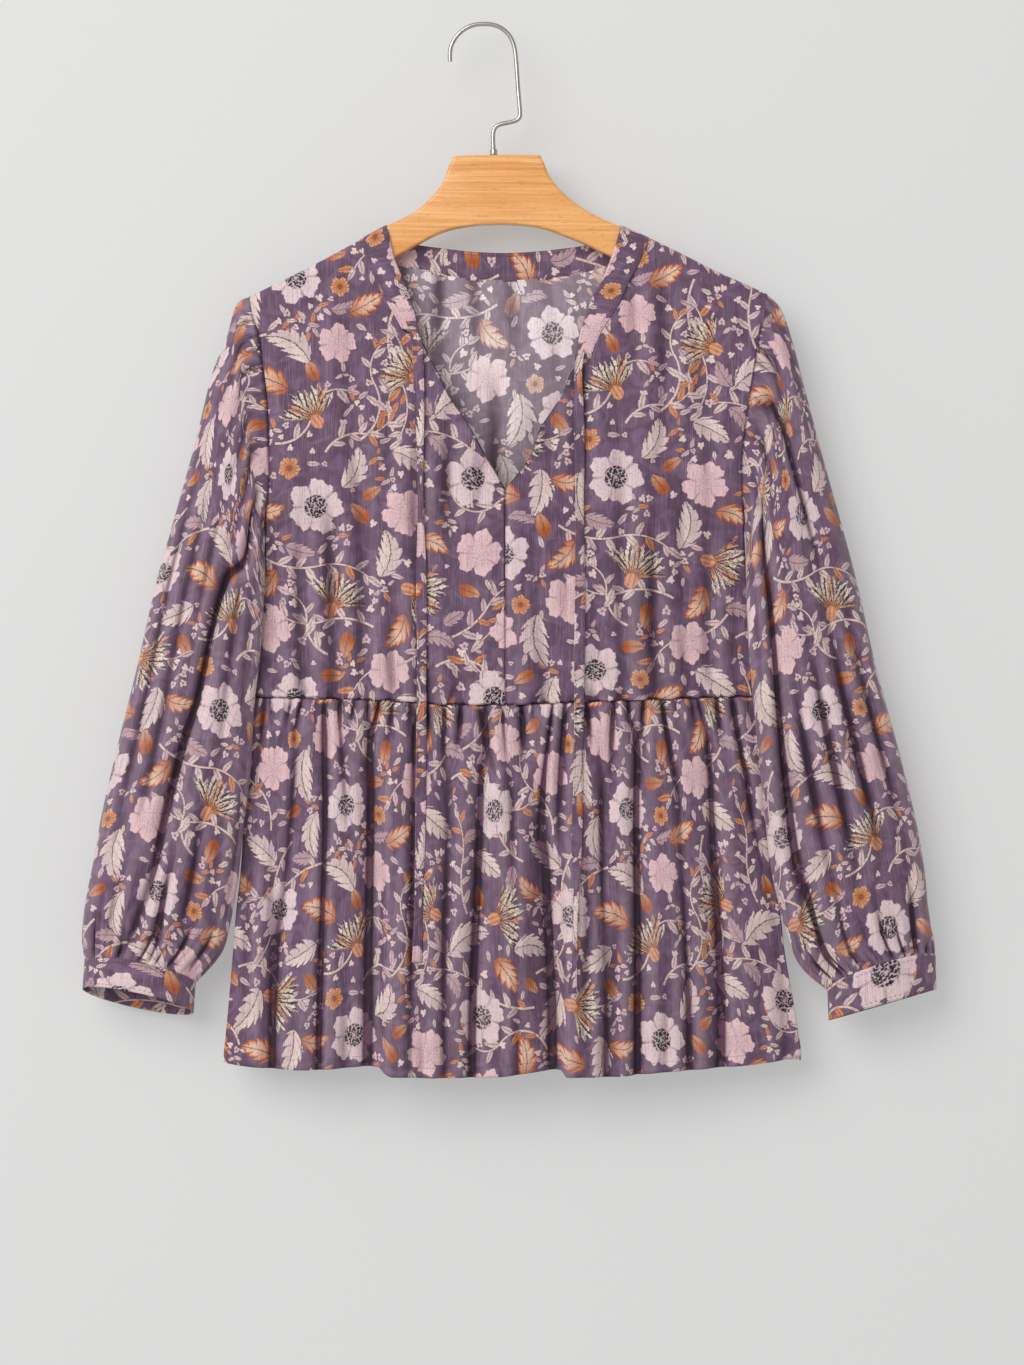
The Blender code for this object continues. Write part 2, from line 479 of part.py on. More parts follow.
def bodice_back(collection):
    tip_left, tip_right = side_x(0.0, True), side_x(0.0, False)
    tops = [blend(tip_left, NECK_POINT_LEFT, i / SHOULDER_COLUMNS) for i in range(SHOULDER_COLUMNS)]
    tops += [NECK_POINT_LEFT] + [NECK_POINT_LEFT + step for step in SHOULDER_STEPS]
    tops += list(BAND_BACK.rows[:, 0])
    tops += [NECK_POINT_RIGHT - step for step in reversed(SHOULDER_STEPS)] + [NECK_POINT_RIGHT]
    tops += [blend(NECK_POINT_RIGHT, tip_right, (i + 1) / SHOULDER_COLUMNS) for i in range(SHOULDER_COLUMNS)]
    across = [(x - tip_left) / (tip_right - tip_left) for x in tops]
    shares = BACK_ROWS + [1.0]
    left_shares = outer_shares(shares, True, ARMHOLE_ROWS_BACK)
    right_shares = outer_shares(shares, False, ARMHOLE_ROWS_BACK)
    grid = []
    for share, left_share, right_share in zip(shares, left_shares, right_shares):
        left = edge_at(left_share, True, back_top)
        right = edge_at(right_share, False, back_top)
        row = []
        for t, top_x in zip(across, tops):
            x = blend(left, right, t) if share > 0 else top_x
            here = blend(share, left_share, eased(NECK_POINT_LEFT - top_x, 0.0, NECK_POINT_LEFT - tip_left))
            here = blend(here, right_share, eased(top_x - NECK_POINT_RIGHT, 0.0, tip_right - NECK_POINT_RIGHT))
            level = blend(back_top(x if t in (0.0, 1.0) else top_x), WAIST.at("drop", x), here)
            depth = max(half_depth(x, level, BODICE_FOLDS_BACK), SEAM / 2)
            if share == 1.0:
                level -= SEAM / 2
            row.append((x, depth, -level))
        row[0] = (left + SEAM / 2,) + row[0][1:]
        row[-1] = (right - SEAM / 2,) + row[-1][1:]
        grid.append(row)
    points = np.array(grid)
    normals = -normals_of(points, False)
    for j, x in enumerate(tops):
        if x <= NECK_POINT_LEFT or x >= NECK_POINT_RIGHT:
            normals[0, j] = squared_to(normals[0, j], (0, 1, 0))
    normals[-1] = squared_to(normals[-1], (0, 0, 1))
    for column in (0, -1):
        normals[:, column] = squared_to(normals[:, column], (1, 0, 0))
    return cloth_wall("back", points, normals, collection)


def peplum(name, facing, gathers, folds, collection):
    """One gathered skirt. facing is -1 for the front and 1 for the back."""
    columns = 2 * gathers
    grid = []
    for below in PEPLUM_ROWS:
        share = below / PEPLUM_ROWS[-1]
        row = []
        for j in range(columns + 1):
            t = j / columns
            level = blend(WAIST_DROP, HEM_DROP, share)
            x = blend(side_x(level, True), side_x(level, False), t)
            waist = WAIST.at("drop", x)
            hem = HEM.at("drop", x) if facing < 0 else HEM_DROP
            level = blend(waist + SEAM / 2, hem, share)
            edge = min(t, 1 - t) * (columns / 2)
            zigzag = (1 if j % 2 else -1) * WAIST_GATHER.at("height", below) * eased(edge, 0.0, 2.0)
            zigzag *= 0.75 + 0.25 * math.sin(GATHER_STEP * j)
            depth = max(half_depth(x, level, folds) + zigzag, LIP)
            row.append((x, facing * depth, -level))
        grid.append(row)
    points = np.array(grid)
    normals = facing * -normals_of(points, False)
    normals[0] = squared_to(normals[0], (0, 0, 1))
    return cloth_wall(name, points, normals, collection)


def neckband(collection):
    """The band round the neck: a strip on the same surface as the panels, from one front end to the other."""
    stations = []

    def add(facing, seam_x, seam_drop, free_x, free_drop):
        stations.append((facing, np.array((seam_x, seam_drop)), np.array((free_x, free_drop))))

    def front(table, neck):
        for seam_drop, free_x, free_drop in table.rows:
            add(-1, neck(seam_drop), seam_drop, free_x, free_drop)

    def behind_arm(neck_x, free_x, steps):
        inward = 1 if free_x > neck_x else -1
        for step, turn in steps:
            seam, free = neck_x + inward * step, free_x + inward * step / 2
            add(1, seam, shoulder_drop(seam) + turn, free, shoulder_drop(free) + turn)

    def before_arm(neck, free_x, turns):
        for turn in turns:
            seam_drop = NECK_POINT_DROP + turn
            add(-1, neck.at("x", seam_drop), seam_drop, free_x, shoulder_drop(free_x) + turn)

    def seam_line(table, rows):
        """The seam's x at a drop: on a row, or on the straight line between the rows either side."""
        def at(drop):
            low = max(row for row in rows if row <= drop + 0.01)
            high = min(row for row in rows if row >= drop - 0.01)
            share = (drop - low) / (high - low) if high > low else 0.0
            return blend(table.at("x", low), table.at("x", high), share)
        return at

    turns = ARM_TURN[1:3]
    behind = list(zip(SHOULDER_STEPS, turns))
    front(BAND_FRONT_LEFT, seam_line(NECK_LEFT, FRONT_ROWS_LEFT))
    stations.reverse()
    before_arm(NECK_LEFT, FREE_LEFT_X, reversed(turns))
    behind_arm(NECK_POINT_LEFT, FREE_LEFT_X, [(0.0, 0.0)] + behind)
    for row in BAND_BACK.rows:
        add(1, *row)
    behind_arm(NECK_POINT_RIGHT, FREE_RIGHT_X, list(reversed(behind)) + [(0.0, 0.0)])
    before_arm(NECK_RIGHT, FREE_RIGHT_X, turns)
    front(BAND_FRONT_RIGHT, seam_line(NECK_RIGHT, FRONT_ROWS_RIGHT))
    grid = []
    for facing, seam, free in stations:
        start = 1.35 * SEAM / np.linalg.norm(free - seam)
        row = []
        for t in (start, 0.5, 1.0):
            x, drop = blend(seam, free, t)
            folds = BODICE_FOLDS_FRONT if facing < 0 else BODICE_FOLDS_BACK
            row.append((x, facing * half_depth(x, drop, folds), -drop))
        grid.append(row)
    points = np.array(grid)
    return cloth_wall("neckband", points, normals_of(points, False), collection)


def tie(name, table, collection):
    """A flat tie: its points are those of the front, moved out by the walls and a clearance."""
    drops = table.rows[:, 0]
    grid = []
    for i in range(TIE_SECTIONS):
        drop = blend(drops[0], drops[-1], (i / (TIE_SECTIONS - 1)) ** TIE_SPACING)
        middle = table.at("x", drop)
        reach = max(front_reach(middle + shift, drop + lift)
                    for shift in (-TIE_WIDTH / 2, 0.0, TIE_WIDTH / 2) for lift in (-TIE_WIDTH, 0.0, TIE_WIDTH))
        row = [(middle + side * TIE_WIDTH / 2, -(reach + WALL + TIE_CLEARANCE), -drop) for side in (-1, 0, 1)]
        grid.append(row)
    points = np.array(grid)
    return cloth_wall(name, points, normals_of(points, False), collection)


def front_reach(x, drop):
    """How far forward the front stands at a place, with the gathers of the waist."""
    waist = WAIST.at("drop", x)
    folds = BODICE_FOLDS_FRONT if drop < waist else PEPLUM_FOLDS_FRONT
    gather = WAIST_GATHER.at("height", drop - waist) if drop > waist - TIE_WIDTH else 0.0
    return half_depth(x, drop, folds) + gather


def sleeve_ring(row, ring, troughs, angles):
    points = []
    for j, angle in enumerate(angles):
        across = (1 - math.cos(angle)) / 2
        swing = math.sin(angle)
        sunk = 0.0
        for table in troughs if swing > 0 else [TROUGH_BACK]:
            away = (across - table.at("across", ring)) / TROUGH_WIDTH
            sunk += table.at("depth", ring) * math.exp(-(away ** 2))
        bulge = row.depth * abs(swing) - sunk
        pleat = (1 if j % 2 else -1) * row.gather
        if ring < HEAD_RINGS:
            pleat *= eased(HEAD_SHARE - across, 0.0, 0.1)
        widen = pleat * -math.cos(angle)
        bulge += pleat * abs(swing)
        y = -row.nose * across - (bulge if swing > 0 else -bulge)
        x = blend(row.outer_x, row.inner_x, across)
        x += widen * (-1 if row.inner_x < row.outer_x else 1)
        drop = blend(row.outer_drop, row.inner_drop, across) + row.tilt * (y + row.nose * across)
        points.append((x, y, -drop))
    return points


def ring_axis(outer, inner, tilt):
    """The direction square to a cuff's ring, pointing down the sleeve."""
    along = Vector((inner[0] - outer[0], 0.0, outer[1] - inner[1]))
    deep = Vector((0.0, 1.0, -tilt))
    axis = along.cross(deep).normalized()
    return np.array(axis if axis.z < 0 else -axis)


def sleeve_angles():
    return [2 * math.pi * j / SLEEVE_POINTS for j in range(SLEEVE_POINTS)]


def sleeve(name, rows, left, troughs, collection):
    outward = -1 if left else 1
    angles = sleeve_angles()
    front_rows = ARMHOLE_ROWS_LEFT if left else ARMHOLE_ROWS_RIGHT
    first = []
    for j in range(SLEEVE_POINTS):
        in_front = j <= ARMHOLE_POINTS
        point = j if in_front else SLEEVE_POINTS - j
        x, depth, drop = armhole_seam(point, left, front_rows if in_front else ARMHOLE_ROWS_BACK)
        if point in (0, ARMHOLE_POINTS):
            depth = 0.0
        first.append((x + outward * SEAM / 2, -depth if in_front else depth, -drop))
    grid = [first]
    for ring, row in enumerate(rows, start=1):
        grid.append(sleeve_ring(row, ring, troughs, angles))
    last = rows[-1]
    axis = ring_axis(last[0:2], last[2:4], last.tilt)
    grid[-1] = [tuple(np.array(point) - axis * SEAM / 2) for point in grid[-1]]
    points = np.array(grid)
    normals = outward * normals_of(points, True)
    normals[0] = squared_to(normals[0], (1, 0, 0))
    normals[-1] = squared_to(normals[-1], axis)
    return cloth_wall(name, points, normals, collection, wrap=True)


def cuff(name, top_row, bottom, bottom_tilt, left, collection):
    axis = ring_axis(top_row[0:2], top_row[2:4], top_row.tilt)
    angles = [2 * math.pi * j / CUFF_POINTS for j in range(CUFF_POINTS)]
    grid = []
    for share in (0.0, 0.5, 1.0):
        ring = []
        for angle in angles:
            across, swing = (1 - math.cos(angle)) / 2, math.sin(angle)
            y = -top_row.depth * swing
            outer_x, outer_drop = (blend(top_row[k], bottom[0][k], share) for k in (0, 1))
            inner_x, inner_drop = (blend(top_row[2 + k], bottom[1][k], share) for k in (0, 1))
            drop = blend(outer_drop, inner_drop, across) + blend(top_row.tilt, bottom_tilt, share) * y
            ring.append((blend(outer_x, inner_x, across), y, -drop))
        if share == 0.0:
            ring = [tuple(np.array(point) + axis * SEAM / 2) for point in ring]
        grid.append(ring)
    points = np.array(grid)
    normals = (-1 if left else 1) * normals_of(points, True)
    normals[0] = squared_to(normals[0], axis)
    return cloth_wall(name, points, normals, collection, wrap=True)


def hanger_body(collection):
    """The flat wooden hanger: rounded sections from the left arm's end to the right arm's end."""
    def top_at(x):
        inside = HANGER_TOP.rows[0, 0] <= x <= HANGER_TOP.rows[-1, 0]
        return HANGER_TOP.at("drop", x) if inside else shoulder_drop(x) + ARM_ROUND - ARM_HALF

    mesh = bmesh.new()
    sections = []
    ends = (HANGER_STATIONS[0] - 3.0, HANGER_STATIONS[-1] + 3.0)
    for x in (ends[0],) + HANGER_STATIONS + (ends[1],):
        half = ARM_HALF if x not in ends else ARM_HALF * 0.55
        shrink = 0.0 if x not in ends else 3.0
        top = top_at(min(max(x, HANGER_STATIONS[0]), HANGER_STATIONS[-1])) + shrink
        bottom = HANGER_BOTTOM.at("drop", min(max(x, HANGER_STATIONS[0]), HANGER_STATIONS[-1])) - shrink
        ring = []
        for degrees in range(0, 181, 30):
            turn = math.radians(degrees)
            ring.append((x, -half * math.cos(turn), -(top + half - half * math.sin(turn))))
        for degrees in range(0, 181, 45):
            turn = math.radians(degrees)
            ring.append((x, half * math.cos(turn), -(bottom - half + half * math.sin(turn))))
        sections.append([mesh.verts.new(Vector(point) * MM) for point in ring])
    count = len(sections[0])
    for here, there in zip(sections, sections[1:]):
        for j in range(count):
            k = (j + 1) % count
            mesh.faces.new((here[j], here[k], there[k], there[j]))
    mesh.faces.new(sections[0])
    mesh.faces.new(sections[-1])
    bmesh.ops.recalc_face_normals(mesh, faces=mesh.faces)
    data = bpy.data.meshes.new("hanger_body")
    mesh.to_mesh(data)
    mesh.free()
    return object_from(data, "hanger_body", WOOD, collection)


def hanger_hook(collection):
    """The bent wire hook."""
    curve = bpy.data.curves.new("hanger_hook", "CURVE")
    curve.dimensions = "3D"
    curve.bevel_depth = WIRE_RADIUS * MM
    curve.bevel_resolution = 2
    curve.use_fill_caps = True
    spline = curve.splines.new("POLY")
    spline.points.add(len(HOOK_PATH) - 1)
    for point, (x, drop) in zip(spline.points, HOOK_PATH):
        point.co = (x * MM, 0.0, -drop * MM, 1.0)
    made = bpy.data.objects.new("hanger_hook", curve)
    curve.materials.append(material(*STEEL))
    collection.objects.link(made)
    return made


def hanger_ferrule(collection):
    """The collar where the wire enters the wood."""
    bpy.ops.mesh.primitive_cylinder_add(
        vertices=20, radius=FERRULE_RADIUS * MM, depth=(FERRULE_BOTTOM - FERRULE_TOP) * MM,
        location=(FERRULE_X * MM, 0.0, -(FERRULE_TOP + FERRULE_BOTTOM) / 2 * MM))
    made = bpy.context.object
    made.name = "hanger_ferrule"
    made.data.materials.append(material(*STEEL))
    for old in list(made.users_collection):
        old.objects.unlink(made)
    collection.objects.link(made)
    return made


def main():
    empty_scene()
    blouse = collection_named("tie_neck_blouse_on_hanger")
    hanger_body(blouse)
    hanger_hook(blouse)
    hanger_ferrule(blouse)
    bodice_front("front_left", True, blouse)
    bodice_front("front_right", False, blouse)
    bodice_back(blouse)
    peplum("peplum_front", -1, WAIST_GATHERS_FRONT, PEPLUM_FOLDS_FRONT, blouse)
    peplum("peplum_back", 1, WAIST_GATHERS_BACK, PEPLUM_FOLDS_BACK, blouse)
    sleeve("sleeve_left", SLEEVE_LEFT, True, [TROUGH_LEFT], blouse)
    sleeve("sleeve_right", SLEEVE_RIGHT, False, [TROUGH_RIGHT, TROUGH_UPPER], blouse)
    cuff("cuff_left", SLEEVE_LEFT[-1], CUFF_LEFT, CUFF_TILT, True, blouse)
    cuff("cuff_right", SLEEVE_RIGHT[-1], CUFF_RIGHT, CUFF_TILT_RIGHT, False, blouse)
    neckband(blouse)
    tie("tie_left", TIE_LEFT, blouse)
    tie("tie_right", TIE_RIGHT, blouse)


main()
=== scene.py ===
"""The looks of a tie-neck blouse in flower-printed crinkle chiffon, hanging on a wooden hanger.

Sizes are millimetres until a mesh is made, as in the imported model's own source: X runs to the right as the
blouse is looked at, the front faces -Y, and a "drop" is a distance below the place where the hook hangs.
Each cloth piece is a thin shell on the form of the solid that it replaces, with finer folds and gathers.
"""

import logging
import math
from dataclasses import dataclass
from enum import Enum
from typing import ClassVar, NamedTuple

import bpy
import numpy as np
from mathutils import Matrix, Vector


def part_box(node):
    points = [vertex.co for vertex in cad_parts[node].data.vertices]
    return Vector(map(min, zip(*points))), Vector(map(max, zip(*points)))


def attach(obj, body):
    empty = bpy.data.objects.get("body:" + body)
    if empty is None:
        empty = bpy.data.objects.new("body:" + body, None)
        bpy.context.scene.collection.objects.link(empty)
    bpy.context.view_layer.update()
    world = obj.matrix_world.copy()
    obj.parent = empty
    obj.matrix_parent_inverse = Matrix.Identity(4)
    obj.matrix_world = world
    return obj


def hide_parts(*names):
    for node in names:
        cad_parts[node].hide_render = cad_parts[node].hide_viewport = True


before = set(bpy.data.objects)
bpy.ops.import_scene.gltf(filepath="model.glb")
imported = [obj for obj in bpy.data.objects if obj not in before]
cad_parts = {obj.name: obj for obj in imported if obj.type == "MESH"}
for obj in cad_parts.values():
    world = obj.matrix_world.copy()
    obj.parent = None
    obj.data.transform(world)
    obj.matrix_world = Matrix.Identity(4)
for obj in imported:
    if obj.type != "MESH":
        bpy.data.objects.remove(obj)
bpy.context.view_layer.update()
LOG = logging.getLogger("blouse")
MM = 0.001
Number = float | np.ndarray

# Outlines and seams
CENTRE_X = 17.2
NECK_POINT_DROP = 168.8
NECK_POINT_LEFT = -95.2
NECK_POINT_RIGHT = 130.4
SPLIT_FOOT = 371.2
UNDERARM = 403.2
WAIST_DROP = 538.0
HEM_DROP = 828.0
LIP = 0.75                 # half depth where front and back lie face to face at a side seam
ROUNDNESS = 2.2
ARM_HALF = 6.0
ARM_ROUND = 7.1
CUFF_TILT = 0.45
CUFF_TILT_RIGHT = 0.135
TIE_WIDTH = 8.5


class Table:
    """A short table with named columns, read between its rows by a smooth curve that never overshoots."""

    def __init__(self, columns: str, *rows: tuple[float, ...]) -> None:
        """Sorts the rows by their first column.

        Args:
            columns: The names of the columns, the key first.
            rows: One tuple of numbers a row.
        """
        self.columns = columns.split()
        self.rows = np.array(sorted(rows), float)
        self.slopes = [self._slopes_of(i) for i in range(1, len(self.columns))]

    def _slopes_of(self, column: int) -> np.ndarray:
        """Works out the slope of one column at each row.

        Args:
            column: The column's number.

        Returns:
            The slopes, one a row.
        """
        key, value = self.rows[:, 0], self.rows[:, column]
        step = np.diff(key)
        rise = np.diff(value) / step
        slopes = np.zeros(len(key))
        for i in range(1, len(key) - 1):
            if rise[i - 1] * rise[i] > 0:
                before, after = 2 * step[i] + step[i - 1], step[i] + 2 * step[i - 1]
                slopes[i] = (before + after) / (before / rise[i - 1] + after / rise[i])
        slopes[0], slopes[-1] = rise[0], rise[-1]
        return slopes

    def at(self, column: str, key: Number) -> np.ndarray:
        """Reads a column.

        Args:
            column: Its name.
            key: One value of the first column, or an array of them.

        Returns:
            The column's values there, the end rows' beyond the ends.
        """
        i = self.columns.index(column)
        keys, values, slopes = self.rows[:, 0], self.rows[:, i], self.slopes[i - 1]
        key = np.clip(np.asarray(key, float), keys[0], keys[-1])
        k = np.clip(np.searchsorted(keys, key, side="right") - 1, 0, len(keys) - 2)
        width = keys[k + 1] - keys[k]
        t = (key - keys[k]) / width
        rise = values[k + 1] - values[k]
        a = slopes[k] * width - rise
        b = rise - slopes[k + 1] * width
        return values[k] + rise * t + t * (1 - t) * (a * (1 - t) + b * t)


SHOULDER_LEFT = Table("x drop", (-188.0, 216.8), (-147.2, 196.8), (-115.2, 180.0), (-95.2, 168.8),
                      (-77.6, 159.2), (CENTRE_X, 112.0))
SHOULDER_RIGHT = Table("x drop", (CENTRE_X, 112.0), (108.8, 159.6), (130.4, 168.8), (150.4, 178.4),
                       (184.0, 195.2), (226.4, 214.4))
SIDE_LEFT = Table("drop x", (216.8, -188.0), (231.2, -185.6), (246.4, -180.8), (268.0, -177.6),
                  (299.2, -173.6), (331.0, -172.0), (363.0, -172.0), (403.2, -175.2), (432.0, -176.0),
                  (451.2, -177.6), (475.2, -180.0), (504.0, -182.0), (537.6, -184.8), (571.2, -188.0),
                  (603.2, -190.4), (638.4, -192.4), (672.8, -194.4), (709.6, -198.4), (750.4, -201.6),
                  (782.8, -204.4), (824.0, -208.0))
SIDE_RIGHT = Table("drop x", (214.4, 226.4), (233.6, 224.0), (255.2, 219.2), (283.2, 214.4),
                   (315.2, 209.6), (352.0, 206.4), (403.2, 208.0), (432.0, 209.6), (451.2, 211.2),
                   (475.2, 212.8), (504.0, 214.4), (536.8, 216.8), (571.2, 220.8), (603.2, 224.8),
                   (635.2, 227.2), (672.8, 231.2), (716.0, 237.6), (738.4, 240.0), (776.8, 246.4),
                   (822.4, 253.6))
WAIST = Table("x drop", (-184.8, 536.8), (-113.6, 538.4), (-64.0, 540.0), (-31.6, 542.8), (17.6, 542.8),
              (70.4, 541.1), (111.2, 539.5), (160.0, 537.9), (216.8, 536.0))
HEM = Table("x drop", (-208.0, 824.0), (-204.8, 829.6), (-140.8, 833.6), (-84.0, 830.4), (-79.0, 835.2),
            (-72.4, 838.4), (-5.6, 839.2), (44.8, 834.4), (61.0, 832.8), (66.0, 838.4), (104.0, 838.4),
            (144.0, 834.8), (187.6, 832.0), (222.4, 828.8), (253.6, 824.0))
NECK_LEFT = Table("drop x", (NECK_POINT_DROP, NECK_POINT_LEFT), (181.6, -94.4), (192.0, -91.2),
                  (203.2, -85.6), (215.2, -80.0), (229.6, -72.0), (244.0, -64.0), (252.0, -50.4),
                  (264.8, -43.6), (277.6, -36.8), (294.4, -28.8), (320.0, -12.0), (345.6, 2.4),
                  (SPLIT_FOOT, CENTRE_X))
NECK_RIGHT = Table("drop x", (NECK_POINT_DROP, NECK_POINT_RIGHT), (175.9, 128.4), (189.2, 123.2),
                   (207.2, 113.6), (222.4, 107.2), (244.0, 93.6), (256.0, 88.5), (268.0, 84.0),
                   (276.0, 70.4), (293.6, 63.2), (311.6, 52.0), (322.4, 44.8), (343.2, 37.6),
                   (SPLIT_FOOT, CENTRE_X))
BAND_FRONT_LEFT = Table("seam_drop free_x free_drop", (175.9, -76.2, 165.9), (181.6, -74.0, 176.5),
                        (192.0, -70.6, 188.8), (203.2, -66.4, 199.2), (215.2, -60.8, 212.0),
                        (229.6, -56.4, 226.4), (243.0, -52.4, 245.2))
BAND_FRONT_RIGHT = Table("seam_drop free_x free_drop", (175.9, 107.6, 167.0), (189.2, 103.5, 180.5),
                         (207.2, 94.0, 204.5), (222.4, 86.5, 217.5), (244.0, 78.0, 242.0),
                         (256.0, 74.8, 256.0), (267.2, 72.2, 268.0))
BAND_BACK = Table("seam_x seam_drop free_x free_drop",
                  (-92.0, 175.0, -76.2, 165.9), (-87.0, 181.6, -72.5, 168.6), (-78.0, 186.6, -65.0, 171.5),
                  (-66.0, 190.6, -56.0, 173.5), (-50.4, 194.6, -46.0, 175.2), (-34.4, 198.0, -33.0, 176.8),
                  (-16.0, 200.8, -16.0, 178.8), (0.0, 202.0, 0.0, 180.0), (17.2, 202.3, 17.2, 180.5),
                  (34.0, 201.9, 34.0, 179.8), (50.0, 200.8, 49.0, 178.6), (66.0, 199.2, 63.0, 177.0),
                  (82.0, 196.0, 77.0, 175.2), (98.0, 191.3, 89.0, 172.8), (111.0, 186.2, 97.5, 170.2),
                  (121.0, 181.0, 104.0, 167.8), (127.0, 175.2, 107.6, 166.6))
BACK_NECK = Table("x drop", (NECK_POINT_LEFT, 168.8), (-94.2, 169.2), (-93.2, 171.3),
                  *[(row[0], row[1]) for row in BAND_BACK.rows], (128.4, 171.5), (129.4, 169.4),
                  (NECK_POINT_RIGHT, 168.8))
MIDDLE = Table("drop depth", (150.0, 7.2), (190.0, 7.6), (230.0, 9.5), (280.0, 12.5), (340.0, 15.5),
               (420.0, 17.5), (500.0, 17.0), (540.0, 16.0), (600.0, 17.0), (700.0, 20.0), (845.0, 22.0))
ARMHOLE = Table("drop depth", (210.0, ARM_ROUND), (250.0, 9.5), (300.0, 12.0), (350.0, 12.0),
                (380.0, 8.5), (396.0, 3.8), (UNDERARM, LIP))


class Fold(NamedTuple):
    """A soft ridge (or trough, if its height is negative) of a panel, with two unlike sides."""

    x_top: float
    x_hem: float
    start: float
    full: float
    height: float
    left: float
    right: float


BODICE_FOLDS_FRONT = [Fold(*row) for row in (
    (-120.0, -128.0, 240, 400, -1.6, 16, 14), (-70.0, -74.0, 300, 420, 1.6, 14, 16),
    (60.0, 64.0, 300, 420, -1.5, 15, 15), (118.0, 122.0, 240, 380, 1.6, 16, 16),
    (160.0, 168.0, 280, 400, -1.8, 12, 14))]
BODICE_FOLDS_BACK = [Fold(*row) for row in (
    (-110.0, -116.0, 240, 400, -1.8, 18, 18), (-40.0, -44.0, 280, 420, 1.8, 20, 20),
    (17.0, 17.0, 240, 400, -1.6, 16, 16), (80.0, 84.0, 280, 420, 1.8, 20, 20),
    (150.0, 158.0, 240, 400, -1.8, 18, 18))]
PEPLUM_FOLDS_FRONT = [Fold(*row) for row in (
    (-152.0, -172.0, 560, 700, -3.0, 10, 9), (-128.0, -144.0, 560, 700, 3.2, 14, 18),
    (-88.0, -97.0, 550, 660, -6.5, 13, 6), (-76.0, -75.0, 550, 640, 6.0, 5, 20),
    (-30.0, -38.0, 570, 700, 2.0, 14, 14), (-2.0, -8.0, 560, 680, -5.0, 10, 9),
    (18.0, 22.0, 560, 680, 3.6, 11, 12), (42.0, 52.0, 560, 690, -6.0, 14, 7),
    (66.0, 69.0, 580, 740, 6.5, 5, 18), (120.0, 121.0, 560, 660, -4.0, 9, 9),
    (140.0, 152.0, 560, 700, 3.0, 13, 14), (172.0, 184.0, 560, 680, -4.0, 9, 9),
    (192.0, 214.0, 570, 700, 3.0, 11, 10))]
PEPLUM_FOLDS_BACK = [Fold(*row) for row in (
    (-150.0, -170.0, 560, 700, -3.0, 11, 10), (-122.0, -138.0, 560, 690, 3.4, 16, 14),
    (-84.0, -96.0, 555, 680, -5.0, 12, 9), (-52.0, -58.0, 560, 700, 4.5, 12, 18),
    (-14.0, -20.0, 560, 690, -4.5, 11, 12), (14.0, 16.0, 560, 690, 3.6, 13, 13),
    (46.0, 50.0, 560, 680, -5.5, 13, 9), (78.0, 84.0, 560, 700, 4.6, 9, 16),
    (112.0, 122.0, 560, 690, -4.0, 11, 10), (142.0, 156.0, 560, 700, 3.4, 14, 14),
    (176.0, 192.0, 560, 680, -3.6, 10, 10))]

PEPLUM_CREASES_FRONT = [Fold(*row) for row in (
    (-150.0, -168.0, 545, 590, -2.6, 5, 4), (-125.0, -131.0, 540, 570, -4.0, 4, 4),
    (-89.0, -89.0, 540, 620, -5.0, 9, 3), (-55.0, -60.0, 540, 580, -2.4, 5, 4),
    (-27.0, -33.0, 560, 640, -2.4, 6, 5), (-1.0, -9.0, 540, 600, -4.0, 6, 4),
    (21.0, 26.0, 560, 620, -2.6, 5, 5), (47.0, 57.0, 545, 640, -5.5, 13, 3),
    (92.0, 95.0, 540, 580, -3.4, 4, 5), (121.0, 122.0, 540, 570, -4.4, 4, 4),
    (152.0, 163.0, 560, 640, -2.6, 5, 5), (179.0, 192.0, 540, 590, -3.4, 6, 4))]
PEPLUM_CREASES_BACK = [Fold(*row) for row in (
    (-139.0, -152.0, 540, 590, -3.4, 4, 5), (-98.0, -109.0, 545, 620, -3.0, 4, 6),
    (-68.0, -76.0, 540, 600, -4.4, 8, 3), (-33.0, -39.0, 560, 640, -2.8, 5, 5),
    (0.0, -2.0, 540, 590, -3.8, 4, 5), (32.0, 36.0, 545, 620, -4.6, 3, 9),
    (64.0, 69.0, 560, 620, -2.6, 5, 5), (97.0, 104.0, 540, 580, -3.6, 5, 4),
    (128.0, 139.0, 560, 640, -3.0, 5, 5), (162.0, 176.0, 540, 600, -3.2, 5, 4))]

RING = "ring outer_x outer_drop inner_x inner_drop nose depth tilt"
SLEEVE_LEFT = Table(
    RING, (1, -198.4, 223.2, -176.4, 411.2, 2, 12.5, 0.00), (2, -206.4, 251.2, -176.0, 420.8, 5, 14, 0.00),
    (3, -217.6, 279.2, -174.8, 432.0, 8, 15, 0.00), (4, -232.0, 337.6, -175.2, 451.2, 10, 16, 0.00),
    (5, -248.0, 395.2, -176.8, 475.2, 10, 16, 0.00), (6, -261.6, 443.2, -178.8, 504.0, 10, 16, 0.00),
    (7, -277.6, 513.6, -183.2, 543.2, 10, 17, 0.00), (8, -292.8, 575.2, -186.4, 595.2, 10, 18, 0.05),
    (9, -305.6, 629.6, -191.6, 638.4, 10, 19, 0.12), (10, -313.6, 671.2, -196.0, 679.2, 9, 20, 0.22),
    (11, -320.0, 708.8, -203.2, 719.2, 5, 20, 0.34), (12, -321.6, 731.2, -210.4, 741.6, 2, 19.5, 0.42),
    (13, -319.2, 748.8, -231.2, 766.4, 0, 17, CUFF_TILT))
